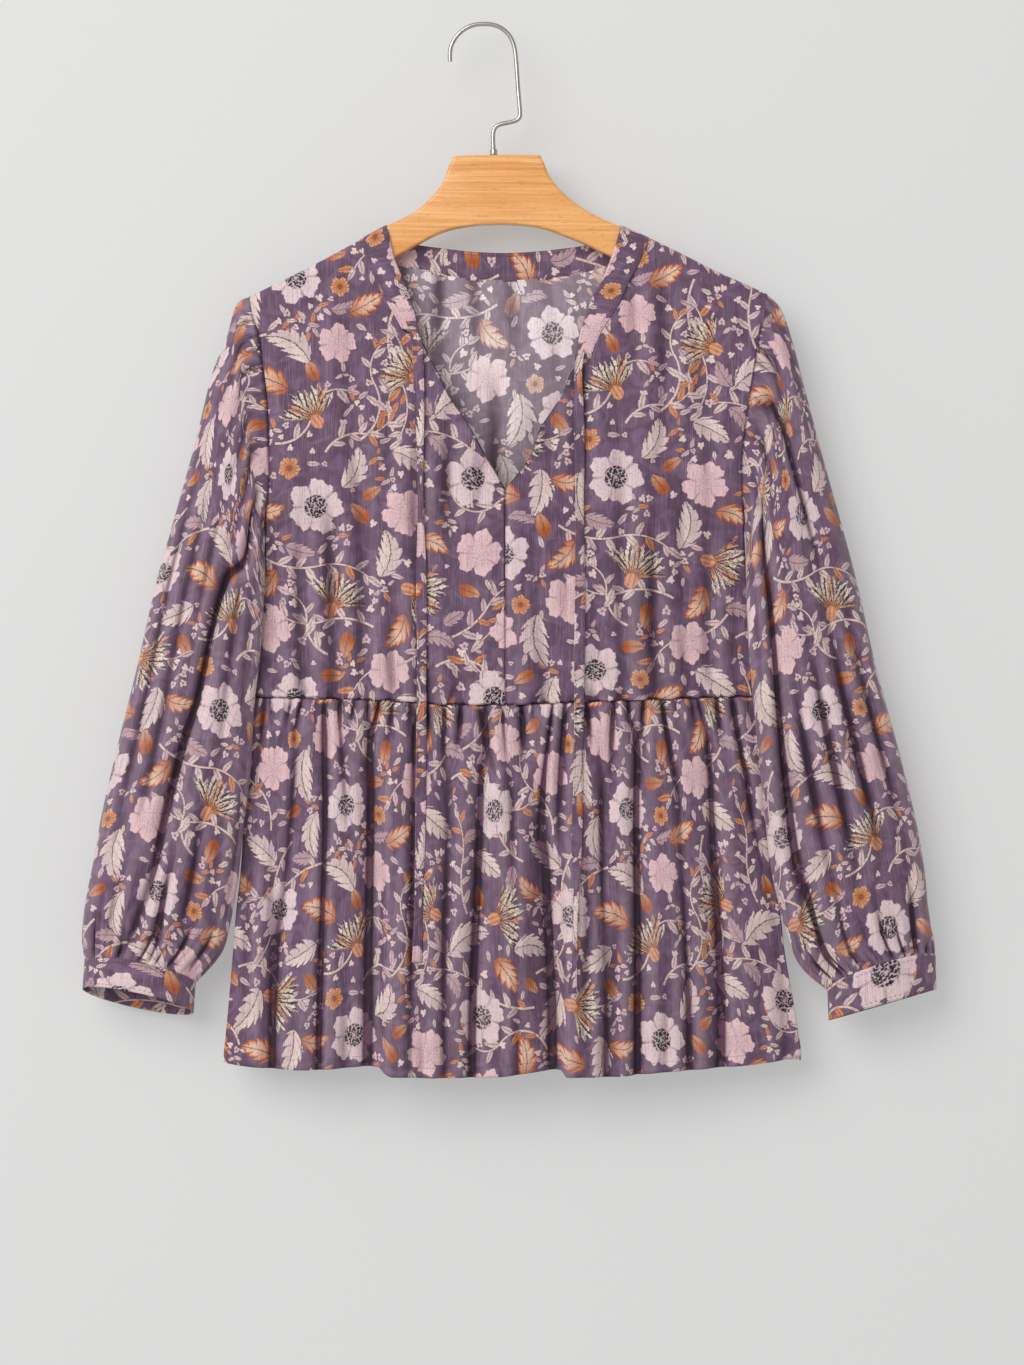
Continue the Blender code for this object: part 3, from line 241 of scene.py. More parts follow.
SLEEVE_RIGHT = Table(
    RING, (1, 236.8, 225.6, 209.6, 411.2, 2, 12.5, 0.00), (2, 244.8, 247.2, 210.0, 420.8, 5, 14, 0.00),
    (3, 253.6, 279.2, 209.2, 432.0, 8, 15, 0.00), (4, 268.8, 337.6, 209.6, 451.2, 10, 16, 0.00),
    (5, 284.8, 395.2, 210.4, 475.2, 10, 16, 0.00), (6, 297.6, 443.2, 212.0, 504.0, 10, 16, 0.00),
    (7, 313.6, 513.6, 215.2, 543.2, 10, 17, 0.00), (8, 330.4, 575.2, 220.4, 595.2, 10, 18, 0.05),
    (9, 344.0, 629.6, 224.8, 638.4, 10, 19, 0.12), (10, 352.0, 671.2, 230.4, 679.2, 9, 20, 0.20),
    (11, 357.6, 708.8, 240.8, 721.6, 5, 20, 0.30), (12, 360.0, 729.6, 252.8, 751.2, 2, 19.5, 0.38),
    (13, 360.8, 745.6, 275.2, 771.2, 0, 17, CUFF_TILT))
LAST_RING = 13
TROUGH_LEFT = Table("ring across depth", (2, 0.80, 0.0), (3, 0.80, 3.0), (4, 0.78, 4.5), (5, 0.62, 5.5),
                    (6, 0.56, 5.5), (7, 0.55, 5.5), (8, 0.49, 5.0), (9, 0.46, 4.0), (10, 0.45, 2.5),
                    (12, 0.44, 0.0))
TROUGH_RIGHT = Table("ring across depth", (2, 0.74, 0.0), (3, 0.77, 3.0), (4, 0.80, 4.0), (5, 0.80, 4.5),
                     (6, 0.81, 4.5), (7, 0.83, 4.5), (8, 0.86, 4.0), (9, 0.87, 3.0), (10, 0.87, 2.0),
                     (12, 0.86, 0.0))
TROUGH_UPPER = Table("ring across depth", (1, 0.40, 0.0), (2, 0.36, 2.5), (3, 0.32, 3.0), (4, 0.30, 2.0),
                     (6, 0.28, 0.0))
TROUGH_BACK = Table("ring across depth", (2, 0.50, 0.0), (4, 0.52, 3.0), (6, 0.50, 4.5), (8, 0.48, 4.5),
                    (10, 0.46, 2.5), (12, 0.45, 0.0))
CUFF_LEFT = ((-320.8, 770.4), (-232.8, 788.8))
CUFF_RIGHT = ((361.6, 770.4), (276.0, 795.2))
TIE_LEFT = Table("drop x", (237.0, -58.0), (247.0, -55.0), (258.0, -52.8), (300.0, -51.5), (400.0, -50.0),
                 (500.0, -49.4), (600.0, -50.0), (700.0, -51.5), (747.0, -53.0))
TIE_RIGHT = Table("drop x", (260.0, 78.0), (270.0, 76.0), (282.0, 75.0), (340.0, 76.0), (450.0, 76.4),
                  (550.0, 75.6), (650.0, 74.0), (720.0, 72.0), (771.0, 70.4))
HANGER_TOP = Table("x drop", (-73.6, 158.4), (-55.2, 148.8), (-44.0, 139.2), (-34.4, 128.0),
                   (-29.6, 118.0), (-27.2, 109.6), (-25.0, 105.4), (-21.0, 104.2), (44.0, 103.2),
                   (47.2, 107.0), (48.6, 112.0), (52.0, 119.6), (60.8, 131.2), (73.6, 142.4),
                   (89.6, 152.0), (106.0, 159.6))
HANGER_BOTTOM = Table("x drop", (-176.0, 227.0), (-150.0, 217.6), (-110.0, 203.0), (-70.4, 184.8),
                      (-50.4, 173.6), (-34.4, 165.6), (-17.6, 161.2), (-1.6, 159.2), (14.4, 158.8),
                      (31.2, 159.6), (47.2, 162.1), (64.0, 168.0), (80.0, 174.4), (101.6, 184.8),
                      (140.0, 200.8), (180.0, 216.4), (208.0, 224.0))
HOOK_PATH = ((-27.2, 28.0), (-26.8, 18.0), (-23.0, 9.6), (-16.6, 3.0), (-8.8, -0.8), (0.0, -1.8),
             (8.0, -1.0), (14.6, 2.0), (20.4, 7.6), (24.0, 15.6), (25.6, 26.0), (26.6, 40.0),
             (27.8, 56.0), (28.8, 68.6), (28.4, 72.8), (25.6, 75.4), (20.0, 77.0), (13.4, 78.4),
             (9.4, 80.6), (7.4, 85.0), (7.2, 91.0), (7.6, 98.0))


def eased(value: Number, low: float, high: float) -> np.ndarray:
    """Goes smoothly from 0 at low to 1 at high."""
    t = np.clip((np.asarray(value, float) - low) / (high - low), 0.0, 1.0)
    return t * t * (3 - 2 * t)


def blend(a: Number, b: Number, t: Number) -> Number:
    """Goes straight from a to b as t goes from 0 to 1."""
    return a + (b - a) * t


def ripple(u: np.ndarray, v: np.ndarray, across: float, along: float, seed: int) -> np.ndarray:
    """Gives the uneven creasing of soft cloth, from -1 to 1, as a sum of seeded waves.

    Args:
        u: Place across the cloth, in millimetres.
        v: Place along it, in millimetres.
        across: The usual distance from crease to crease.
        along: The usual length of a crease.
        seed: Which of the many like surfaces to give.

    Returns:
        The height at each place.
    """
    chance = np.random.default_rng(seed)
    total = np.zeros(np.broadcast(u, v).shape)
    for _ in range(9):
        wave = 2 * math.pi / across * chance.uniform(0.55, 1.6)
        lean = 2 * math.pi / along * chance.uniform(-1.2, 1.2)
        bend = chance.uniform(0.5, 1.6) * np.sin(v * 2 * math.pi / along * chance.uniform(0.4, 1.1)
                                                 + chance.uniform(0, 6.3))
        total += np.sin(u * wave + v * lean + bend + chance.uniform(0, 6.3))
    return total / 4.5


def gathers(place: np.ndarray, below: np.ndarray, count: int, seed: int, reach: float,
            width: float = 0.17) -> np.ndarray:
    """Gives the grooves between the small pleats of a gathered seam, each of its own width, depth and length.

    Args:
        place: Place along the seam, from 0 to 1.
        below: Distance from the seam, in millimetres.
        count: How many grooves.
        seed: Which of the many like rows to give.
        reach: The usual length of a groove, in millimetres.
        width: The usual half width of a groove, as a share of the distance between two.

    Returns:
        The depth, about 1 in a usual groove.
    """
    chance = np.random.default_rng(seed)
    below = np.maximum(below, 0.0)
    total = np.zeros(np.broadcast(place, below).shape)
    for k in range(count):
        middle = (k + 0.5 + chance.uniform(-0.33, 0.33)) / count
        half = chance.uniform(0.75, 1.45) * width / count
        length = reach * chance.choice([0.35, 0.6, 1.0, 1.9], p=[0.3, 0.3, 0.22, 0.18])
        drift = chance.uniform(-0.6, 0.6) / count
        away = (place - middle - drift * below / reach) / (half * (1 + below / reach * 0.8))
        total += chance.uniform(0.5, 1.3) * close_to(away, 1.0) * close_to(below, length)
    return total


def flow_along(points: np.ndarray, stations: np.ndarray) -> np.ndarray:
    """Runs a smooth curve through rows of points.

    Args:
        points: Rows by anything by 3.
        stations: The row numbers wanted, whole or not.

    Returns:
        The points at those rows.
    """
    count = len(points)
    k = np.clip(np.floor(stations).astype(int), 0, count - 2)
    t = (stations - k).reshape((-1,) + (1,) * (points.ndim - 1))
    before, here = points[np.maximum(k - 1, 0)], points[k]
    there, after = points[k + 1], points[np.minimum(k + 2, count - 1)]
    lead, trail = (there - before) / 2, (after - here) / 2
    return (here * (1 - 3 * t ** 2 + 2 * t ** 3) + lead * (t - 2 * t ** 2 + t ** 3)
            + there * (3 * t ** 2 - 2 * t ** 3) + trail * (t ** 3 - t ** 2))


def close_to(away: Number, half: Number) -> np.ndarray:
    """Goes smoothly from 1 where away is 0 down to almost 0 at twice the half width."""
    return np.exp(-(away / half) ** 2)


def running_length(points: np.ndarray) -> np.ndarray:
    """Gives the distance along a line of points from its first one to each."""
    return np.concatenate([[0.0], np.cumsum(np.linalg.norm(np.diff(points, axis=0), axis=1))])


def even_stations(points: np.ndarray, step: float) -> np.ndarray:
    """Finds row numbers that lie a given distance apart along a line of points.

    Args:
        points: The line, count by 3.
        step: The distance.

    Returns:
        The row numbers, from the first row to the last.
    """
    length = running_length(points)
    wanted = np.linspace(0.0, length[-1], int(length[-1] / step) + 2)
    return np.interp(wanted, length, np.arange(len(points)))


class Form:
    """The blouse's outline and depth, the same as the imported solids'."""

    @staticmethod
    def shoulder_drop(x: Number) -> np.ndarray:
        """Gives the drop of the shoulder line at x."""
        return np.where(np.asarray(x) < CENTRE_X, SHOULDER_LEFT.at("drop", x), SHOULDER_RIGHT.at("drop", x))

    @staticmethod
    def side_x(drop: Number, left: bool) -> np.ndarray:
        """Gives the x of the armhole or side seam at a drop."""
        return (SIDE_LEFT if left else SIDE_RIGHT).at("x", drop)

    @staticmethod
    def fold_height(folds: list[Fold], x: np.ndarray, drop: np.ndarray) -> np.ndarray:
        """Sums the folds at each place."""
        total = np.zeros(np.broadcast(x, drop).shape)
        for fold in folds:
            away = x - blend(fold.x_top, fold.x_hem, eased(drop, fold.start, HEM_DROP))
            softness = np.where(away < 0, fold.left, fold.right)
            total += fold.height * eased(drop, fold.start, fold.full) * close_to(away, softness)
        return total

    @classmethod
    def half_depth(cls, x: np.ndarray, drop: np.ndarray, folds: list[Fold]) -> np.ndarray:
        """Gives the depth of the blouse's wall from its middle plane.

        Args:
            x: Places across.
            drop: Places down.
            folds: The folds of that wall.

        Returns:
            The depth at each place.
        """
        edge = np.where(x < CENTRE_X, cls.side_x(drop, True), cls.side_x(drop, False))
        inward = np.abs(x - edge)
        share = np.minimum(inward / np.abs(CENTRE_X - edge), 1.0)
        lip = np.where(drop < UNDERARM, ARMHOLE.at("depth", drop), LIP)
        depth = lip + (MIDDLE.at("depth", drop) - lip) * (1 - (1 - share) ** ROUNDNESS)
        depth = depth + cls.fold_height(folds, x, drop) * eased(inward, 2.0, 22.0)
        below = np.clip(drop - cls.shoulder_drop(x), 0.0, ARM_ROUND)
        return depth * np.sqrt(np.maximum(0.0, 1 - (1 - below / ARM_ROUND) ** 2))

    @classmethod
    def edge_at(cls, share: np.ndarray, left: bool) -> np.ndarray:
        """Finds where rows, each a share of the way from shoulder to waist, meet the armhole or side seam."""
        x = cls.side_x(np.zeros(len(share)), left)
        for _ in range(14):
            drop = blend(cls.shoulder_drop(x), WAIST.at("drop", x), share)
            x = cls.side_x(drop, left)
        return x


class Layer(Enum):
    """The layers of the print, from the top one down."""

    FLOWERS = "flowers"
    SPRAYS = "sprays"
    LEAVES = "leaves"
    BUDS = "buds"
    STEMS = "stems"


class Motif(NamedTuple):
    """One motif of the print: its place in the repeat, its turn, half its length and width, and its kind."""

    x: float
    y: float
    turn: float
    half_length: float
    half_width: float
    kind: int
    seed: float


@dataclass
class PrintRepeat:
    """A generic flower print: a repeat of scattered flowers, sprays, leaves and buds on swirling stems."""

    width: float = 300.0
    height: float = 336.0
    seed: int = 11
    stem_step: float = 4.0
    far: float = 1e9

    def __post_init__(self) -> None:
        """Scatters the motifs, the large ones first."""
        self.chance = np.random.default_rng(self.seed)
        self.motifs: dict[Layer, list[Motif]] = {layer: [] for layer in Layer}
        self.discs: list[tuple[float, float, float]] = []
        self._scatter(Layer.FLOWERS, 6, 1, (21.0, 24.0), 1.0, 30.0)
        self._scatter(Layer.SPRAYS, 6, 1, (20.0, 23.0), 0.9, 8.0)
        self._scatter(Layer.FLOWERS, 7, 2, (15.0, 19.5), 1.0, 8.0)
        self._grow_stems(20)
        self._scatter(Layer.LEAVES, 14, 1, (16.0, 22.0), 0.55, -3.0)
        self._scatter(Layer.LEAVES, 11, 2, (13.0, 19.0), 0.6, -3.0)
        self._scatter(Layer.FLOWERS, 5, 3, (8.0, 11.0), 1.0, 2.0)
        self._scatter(Layer.BUDS, 12, 2, (8.0, 11.5), 0.55, -1.0)
        self._grow_sprigs(30)
        self._scatter(Layer.LEAVES, 12, 3, (9.0, 13.0), 0.45, -2.0)
        self._scatter(Layer.BUDS, 45, 1, (2.2, 4.6), 0.9, 0.6)
        self._scatter(Layer.BUDS, 45, 3, (3.6, 6.5), 0.42, -0.6)

    def flow(self, x: Number, y: Number) -> Number:
        """Gives the direction that stems and leaves follow, the same on all sides of the repeat."""
        a, b = 2 * math.pi * x / self.width, 2 * math.pi * y / self.height
        return 1.3 + 1.7 * np.sin(a + 0.8 * np.sin(b)) + 1.5 * np.sin(2 * b - a) + 0.9 * np.cos(2 * a + b)

    def _gap(self, x: float, y: float) -> float:
        """Gives the room at a place: its distance from the nearest disc already taken."""
        if not self.discs:
            return self.far
        taken = np.array(self.discs)
        dx, dy = self._nearest_way(taken[:, 0] - x, taken[:, 1] - y)
        return float((np.hypot(dx, dy) - taken[:, 2]).min())

    def _roomiest(self, tries: int) -> tuple[float, float, float]:
        """Finds the place with the most room among some picked by chance, and gives it with its room."""
        spots = [(self.chance.uniform(0, self.width), self.chance.uniform(0, self.height))
                 for _ in range(tries)]
        rooms = [self._gap(*spot) for spot in spots]
        best = int(np.argmax(rooms))
        return *spots[best], rooms[best]

    def _scatter(self, layer: Layer, count: int, kind: int, half_lengths: tuple[float, float],
                 slimness: float, margin: float) -> None:
        """Puts motifs where there is most room for them.

        Args:
            layer: Their layer.
            count: How many.
            kind: Their kind in that layer.
            half_lengths: The smallest and largest half length.
            slimness: Their width as a share of their length.
            margin: How far apart they stay, less than nothing where they may touch.
        """
        for _ in range(count):
            half = self.chance.uniform(*half_lengths)
            reach = half * (0.45 + 0.55 * slimness)
            x, y, room = self._roomiest(70)
            if room < reach + margin:
                continue
            turn = self.flow(x, y) + self.chance.uniform(-0.9, 0.9)
            self.motifs[layer].append(
                Motif(x, y, turn, half, half * slimness, kind, self.chance.uniform(0, 1)))
            self.discs.append((x, y, reach))

    def _grow_stems(self, count: int) -> None:
        """Grows stems along the flow, with leaflets and berries on both sides.

        Args:
            count: How many stems.
        """
        for _ in range(count):
            x, y, _ = self._roomiest(25)
            turn = float(self.chance.uniform(0, 2 * math.pi))
            curl = float(self.chance.uniform(0.05, 0.15) * self.chance.choice([-1, 1]))
            length, side = int(self.chance.integers(15, 27)), 1
            for step in range(length):
                turn += curl * (1.0 if step < 0.55 * length else -1.3)
                half = self.stem_step / 2
                x += math.cos(turn) * half
                y += math.sin(turn) * half
                self.motifs[Layer.STEMS].append(Motif(x % self.width, y % self.height, turn, half * 1.05,
                                                      0.95 - 0.5 * step / length, 1, 0.5))
                x += math.cos(turn) * half
                y += math.sin(turn) * half
                if step % 2:
                    self._leaflet(x, y, turn + side * self.chance.uniform(0.6, 1.1))
                    side = -side
                if step % 3 == 0:
                    self.discs.append((x % self.width, y % self.height, 3.5))
            self._leaflet(x, y, turn)

    def _grow_sprigs(self, count: int) -> None:
        """Puts small tufts of blossoms, berries and leaflets where there is room.

        Args:
            count: How many tufts.
        """
        for _ in range(count):
            x, y, room = self._roomiest(40)
            if room < 3.0:
                continue
            for k in range(int(self.chance.integers(4, 9))):
                turn = 2.4 * k + self.chance.uniform(-0.4, 0.4)
                away = 4.1 * math.sqrt(k + 0.3)
                kind = int(self.chance.choice([1, 3, 4], p=[0.5, 0.35, 0.15]))
                half = self.chance.uniform(2.6, 3.8) if kind == 1 else self.chance.uniform(3.2, 5.0)
                self._put_bud(x + away * math.cos(turn), y + away * math.sin(turn), turn, half, kind)
            self.discs.append((x, y, 9.0))

    def _leaflet(self, x: float, y: float, turn: float) -> None:
        """Puts a leaflet or berry at the side of a stem where there is room.

        Args:
            x: The place on the stem.
            y: The same.
            turn: The leaflet's direction.
        """
        half = self.chance.uniform(4.5, 8.0)
        x, y = x + math.cos(turn) * half, y + math.sin(turn) * half
        if self._gap(x, y) > -8.0:
            kind = int(self.chance.choice([3, 1, 4], p=[0.62, 0.2, 0.18]))
            self._put_bud(x, y, turn, half * 0.55 if kind == 1 else half, kind)

    def _put_bud(self, x: float, y: float, turn: float, half: float, kind: int) -> None:
        """Puts one small motif in the layer of buds: a round blossom if its kind is 1, else a slim one."""
        slimness = 0.9 if kind == 1 else 0.42
        self.motifs[Layer.BUDS].append(Motif(x % self.width, y % self.height, turn, half, half * slimness,
                                             kind, self.chance.uniform(0, 1)))

    def lay(self, corners: np.ndarray) -> dict[Layer, np.ndarray]:
        """Lays the print on cloth: each face gets, in each layer, its place in the nearest motif there.

        Args:
            corners: Each face's corners on the flat cut, faces by 4 by 2, in millimetres.

        Returns:
            For each layer, faces by 4 by 3: the place in the motif's own half lengths, and its kind and seed.
        """
        middle = corners.mean(axis=1)
        laid = {}
        for layer, motifs in self.motifs.items():
            nearest = np.full(len(middle), self.far)
            chosen = np.zeros(len(middle), int)
            for k, motif in enumerate(motifs):
                dx, dy = self._nearest_way(middle[:, 0] - motif.x, middle[:, 1] - motif.y)
                c, s = math.cos(motif.turn), math.sin(motif.turn)
                away = (((dx * c + dy * s) / motif.half_length) ** 2
                        + ((dy * c - dx * s) / motif.half_width) ** 2)
                closer = away < nearest
                nearest[closer] = away[closer]
                chosen[closer] = k
            rows = np.array(motifs)[chosen]
            c, s = np.cos(rows[:, 2])[:, None], np.sin(rows[:, 2])[:, None]
            centre = np.stack(self._nearest_way(middle[:, 0] - rows[:, 0], middle[:, 1] - rows[:, 1]), axis=1)
            offset = corners - middle[:, None] + centre[:, None]
            x = (offset[..., 0] * c + offset[..., 1] * s) / rows[:, 3:4]
            y = (offset[..., 1] * c - offset[..., 0] * s) / rows[:, 4 if layer is Layer.STEMS else 3][:, None]
            limit = 40.0 if layer is Layer.STEMS else 2.6
            code = np.where(nearest < limit, rows[:, 5] + 0.05 + 0.9 * rows[:, 6], 0.0)
            laid[layer] = np.stack([x, y, np.broadcast_to(code[:, None], x.shape)], axis=2)
        return laid

    def _nearest_way(self, dx: np.ndarray, dy: np.ndarray) -> tuple[np.ndarray, np.ndarray]:
        """Turns the way between two places into the shortest one between their copies in the repeat."""
        return ((dx + self.width / 2) % self.width - self.width / 2,
                (dy + self.height / 2) % self.height - self.height / 2)


def hex_to_linear(code: str) -> tuple[float, float, float, float]:
    """Turns an sRGB hex value into the linear colour that a shader takes."""
    shades = [int(code[i:i + 2], 16) / 255 for i in (1, 3, 5)]
    return tuple(c / 12.92 if c <= 0.04045 else ((c + 0.055) / 1.055) ** 2.4 for c in shades) + (1.0,)


class Graph:
    """A material's node tree."""

    def __init__(self, name: str) -> None:
        """Makes an empty material with its output."""
        self.material = bpy.data.materials.new(name)
        self.material.use_nodes = True
        self.tree = self.material.node_tree
        self.tree.nodes.clear()

    def add(self, kind: str, settings: dict | None = None, links: dict | None = None) -> bpy.types.Node:
        """Adds a node.

        Args:
            kind: Blender's name for it.
            settings: Its own settings, by name.
            links: What goes into its sockets, by name or number: a field, a socket or a plain value.

        Returns:
            The node.
        """
        node = self.tree.nodes.new(kind)
        for key, value in (settings or {}).items():
            setattr(node, key, value)
        for key, value in (links or {}).items():
            value = value.socket if isinstance(value, Field) else value
            if isinstance(value, bpy.types.NodeSocket):
                self.tree.links.new(value, node.inputs[key])
            else:
                node.inputs[key].default_value = value
        return node

    def noise(self, place: bpy.types.NodeSocket, detail: float, stretch: tuple | None = None,
              flat: bool = False, **more: float) -> bpy.types.Node:
        """Adds noise.

        Args:
            place: Where it is read.
            detail: How many finer layers it has.
            stretch: How many of its cells go into a metre along each axis, if they are of unlike lengths.
            flat: Whether it varies in two directions only.
            more: Its other numbers, by socket.

        Returns:
            The node.
        """
        if stretch:
            place = self.add("ShaderNodeMapping", None, {"Vector": place, "Scale": stretch}).outputs[0]
        return self.add("ShaderNodeTexNoise", {"noise_dimensions": "2D" if flat else "3D"},
                        {"Vector": place, "Scale": 1.0, "Detail": detail, **more})

    def stored(self, name: str) -> bpy.types.Node:
        """Adds a node that reads what the mesh holds under a name."""
        return self.add("ShaderNodeAttribute", {"attribute_name": name, "attribute_type": "GEOMETRY"})

    def split(self, vector: bpy.types.NodeSocket) -> tuple["Field", ...]:
        """Gives the three numbers of a vector."""
        parts = self.add("ShaderNodeSeparateXYZ", None, {0: vector})
        return tuple(Field(self, parts.outputs[i]) for i in range(3))

    def surface(self, looks: dict) -> None:
        """Adds the shader, with its sockets set as told, and the output."""
        shader = self.add("ShaderNodeBsdfPrincipled", None, looks)
        self.add("ShaderNodeOutputMaterial", None, {"Surface": shader.outputs[0]})


class Field:
    """A number that varies over a surface, which plain arithmetic combines with others."""

    def __init__(self, graph: Graph, socket: bpy.types.NodeSocket) -> None:
        """Wraps a node's output."""
        self.graph = graph
        self.socket = socket

    def by(self, operation: str, *others: "Field | float", clamp: bool = False) -> "Field":
        """Combines this with others by one of Blender's operations.

        Args:
            operation: Its name.
            others: The other numbers.
            clamp: Whether the result is kept between 0 and 1.

        Returns:
            The result.
        """
        node = self.graph.add("ShaderNodeMath", {"operation": operation, "use_clamp": clamp},
                              dict(enumerate((self, *others))))
        return Field(self.graph, node.outputs[0])

    def __add__(self, other: "Field | float") -> "Field":
        """Adds."""
        return self.by("ADD", other)

    def __sub__(self, other: "Field | float") -> "Field":
        """Subtracts."""
        return self.by("SUBTRACT", other)

    def __mul__(self, other: "Field | float") -> "Field":
        """Multiplies."""
        return self.by("MULTIPLY", other)

    def __abs__(self) -> "Field":
        """Gives the size without the sign."""
        return self.by("ABSOLUTE")

    def ramp(self, low: float, high: float) -> "Field":
        """Goes straight from 0 at low to 1 at high, and stays there."""
        return self.by("MULTIPLY_ADD", 1 / (high - low), -low / (high - low), clamp=True)

    def inverse(self) -> "Field":
        """Gives 1 less this."""
        return self.by("MULTIPLY_ADD", -1.0, 1.0)

    def wave(self, turns: float, shift: "Field | float" = 0.0) -> "Field":
        """Gives the sine of this many times over, from -1 to 1."""
        return self.by("MULTIPLY_ADD", turns, shift).by("SINE")

    def equals(self, value: float) -> "Field":
        """Gives 1 where this is the value, and 0 elsewhere."""
        return self.by("COMPARE", value, 0.5)


class Paint:
    """A colour that is built up by laying others over it."""

    def __init__(self, graph: Graph, colour: str) -> None:
        """Starts with a ground colour."""
        self.graph = graph
        self.colour: tuple | bpy.types.NodeSocket = hex_to_linear(colour)

    def cover(self, mask: Field, colour: "str | Paint | bpy.types.NodeSocket", strength: float = 1.0,
              way: str = "MIX") -> "Paint":
        """Lays a colour over what is there.

        Args:
            mask: Where, from 0 to 1.
            colour: An sRGB hex value, another paint, or a socket that gives a colour.
            strength: How strongly.
            way: How it mixes with what is under it.

        Returns:
            This paint.
        """
        over = colour.colour if isinstance(colour, Paint) else colour
        over = hex_to_linear(over) if isinstance(over, str) else over
        mask = mask * strength if strength != 1.0 else mask
        node = self.graph.add("ShaderNodeMix", {"data_type": "RGBA", "blend_type": way},
                              {0: mask, 6: self.colour, 7: over})
        self.colour = node.outputs[2]
        return self


def distance(x: Field, y: Field) -> Field:
    """Gives the distance from the middle."""
    return (x * x + y * y).by("SQRT")


def blend_fields(a: Field, b: Field, t: Field) -> Field:
    """Goes from a to b as t goes from 0 to 1."""
    return (b - a).by("MULTIPLY_ADD", t, a)


@dataclass(frozen=True)
class PrintedChiffon:
    """Printed crinkle chiffon: thin matt polyester, so the print is a little soft, streaked by slubs."""

    name: str = "printed_crinkle_chiffon"
    ground: str = "#634D61"
    slub_mm: float = 0.8          # real slubs are about 0.3 mm wide, drawn coarser so that they show
    slub_length_mm: float = 26.0
    crinkle_mm: float = 2.6
    wobble_mm: float = 2.4        # size of the unevenness of a printed edge
    stitch_mm: float = 3.0
    saturation: float = 1.16

    def build(self) -> bpy.types.Material:
        """Makes the material.

        Returns:
            The material.
        """
        graph = Graph(self.name)
        uv = graph.add("ShaderNodeUVMap", {"uv_map": "cut"}).outputs[0]
        wobble = graph.noise(uv, 1.0, flat=True, Scale=1 / (self.wobble_mm * MM), Roughness=0.6)
        shift = graph.add("ShaderNodeVectorMath", {"operation": "SUBTRACT"},
                          {0: wobble.outputs["Color"], 1: (0.5, 0.5, 0.5)}).outputs[0]
        paint = self._ground(graph, uv)
        self._stems(graph, paint)
        self._buds(graph, paint, shift)
        self._leaves(graph, paint, shift)
        self._sprays(graph, paint, shift)
        self._flowers(graph, paint, shift)
        self._cloth(graph, paint, uv, Field(graph, wobble.outputs[0]))
        return graph.material

    def _motif(self, graph: Graph, layer: Layer, shift: bpy.types.NodeSocket,
               amount: float) -> tuple[Field, Field, Field, Field]:
        """Reads a layer's place and kind.

        Args:
            graph: The material's graph.
            layer: The layer.
            shift: The unevenness of printed edges.
            amount: How much of it this layer has.

        Returns:
            The place along and across the motif, its kind and its seed.
        """
        moved = graph.add("ShaderNodeVectorMath", {"operation": "MULTIPLY_ADD"}, {
            0: shift, 1: (amount, amount, 0.0), 2: graph.stored(layer.value).outputs["Vector"]})
        x, y, code = graph.split(moved.outputs[0])
        return x, y, code.by("FLOOR"), code.by("FRACT")

    def _ground(self, graph: Graph, uv: bpy.types.NodeSocket) -> Paint:
        """Paints the muted ground with its faint tone-on-tone leaves.

        Args:
            graph: The material's graph.
            uv: Place on the flat cut.

        Returns:
            The paint.
        """
        paint = Paint(graph, self.ground)
        mottle = Field(graph, graph.noise(uv, 1.0, flat=True, Scale=75.0, Distortion=0.9).outputs[0])
        paint.cover(mottle.ramp(0.53, 0.60), "#4A3850", 0.45)
        paint.cover(mottle.ramp(0.45, 0.40), "#77617C", 0.45)
        return paint

    def _stems(self, graph: Graph, paint: Paint) -> None:
        """Paints the thin curving stems."""
        x, y, code = graph.split(graph.stored(Layer.STEMS.value).outputs["Vector"])
        line = abs(y).ramp(1.15, 0.85) * abs(x).ramp(1.3, 1.1) * code.ramp(0.1, 0.2)
        paint.cover(line, "#D5C0B4")

    def _buds(self, graph: Graph, paint: Paint, shift: bpy.types.NodeSocket) -> None:
        """Paints tiny blossoms, buds, leaflets and small petals."""
        x, y, kind, seed = self._motif(graph, Layer.BUDS, shift, 0.22)
        blossom, bud, petal = kind.equals(1), kind.equals(2), kind.equals(4)
        swell = (x * x).by("MULTIPLY_ADD", -1.0, 1.0, clamp=True).by("POWER", 0.6)
        edge = swell * (bud * 0.16 + 0.40) * x.by("MULTIPLY_ADD", -0.3, 1.0)
        radius = distance(x, y)
        round_it = y.by("ARCTAN2", x)
        lobes = abs(round_it.wave(2.5, seed * 9.0)) * 0.3 + round_it.wave(3.0, seed * 25.0) * 0.16 + 0.6
        inside = blend_fields(edge - abs(y), lobes - radius, blossom).ramp(0.0, 0.1) * kind.ramp(0.2, 0.8)
        colour = Paint(graph, "#DCC8C2")
        colour.cover(seed.ramp(0.3, 0.9), "#CDB1B4")
        colour.cover(petal, "#D3936E")
        tip = Paint(graph, "#AC6440")
        tip.cover(x.ramp(-0.4, 0.7), "#D3A285")
        colour.cover(bud, tip)
        colour.cover(radius.ramp(0.36, 0.2) * blossom * seed.ramp(0.55, 0.6), "#5A4650", 0.75)
        veins = (x * 3.0 + abs(y) * -9.0).by("FRACT").ramp(0.35, 0.1)
        colour.cover(veins * blossom.inverse(), "#5F4A4C", 0.45)
        colour.cover(abs(y).ramp(0.10, 0.03) * blossom.inverse(), "#57414A", 0.6)
        paint.cover(inside, colour)

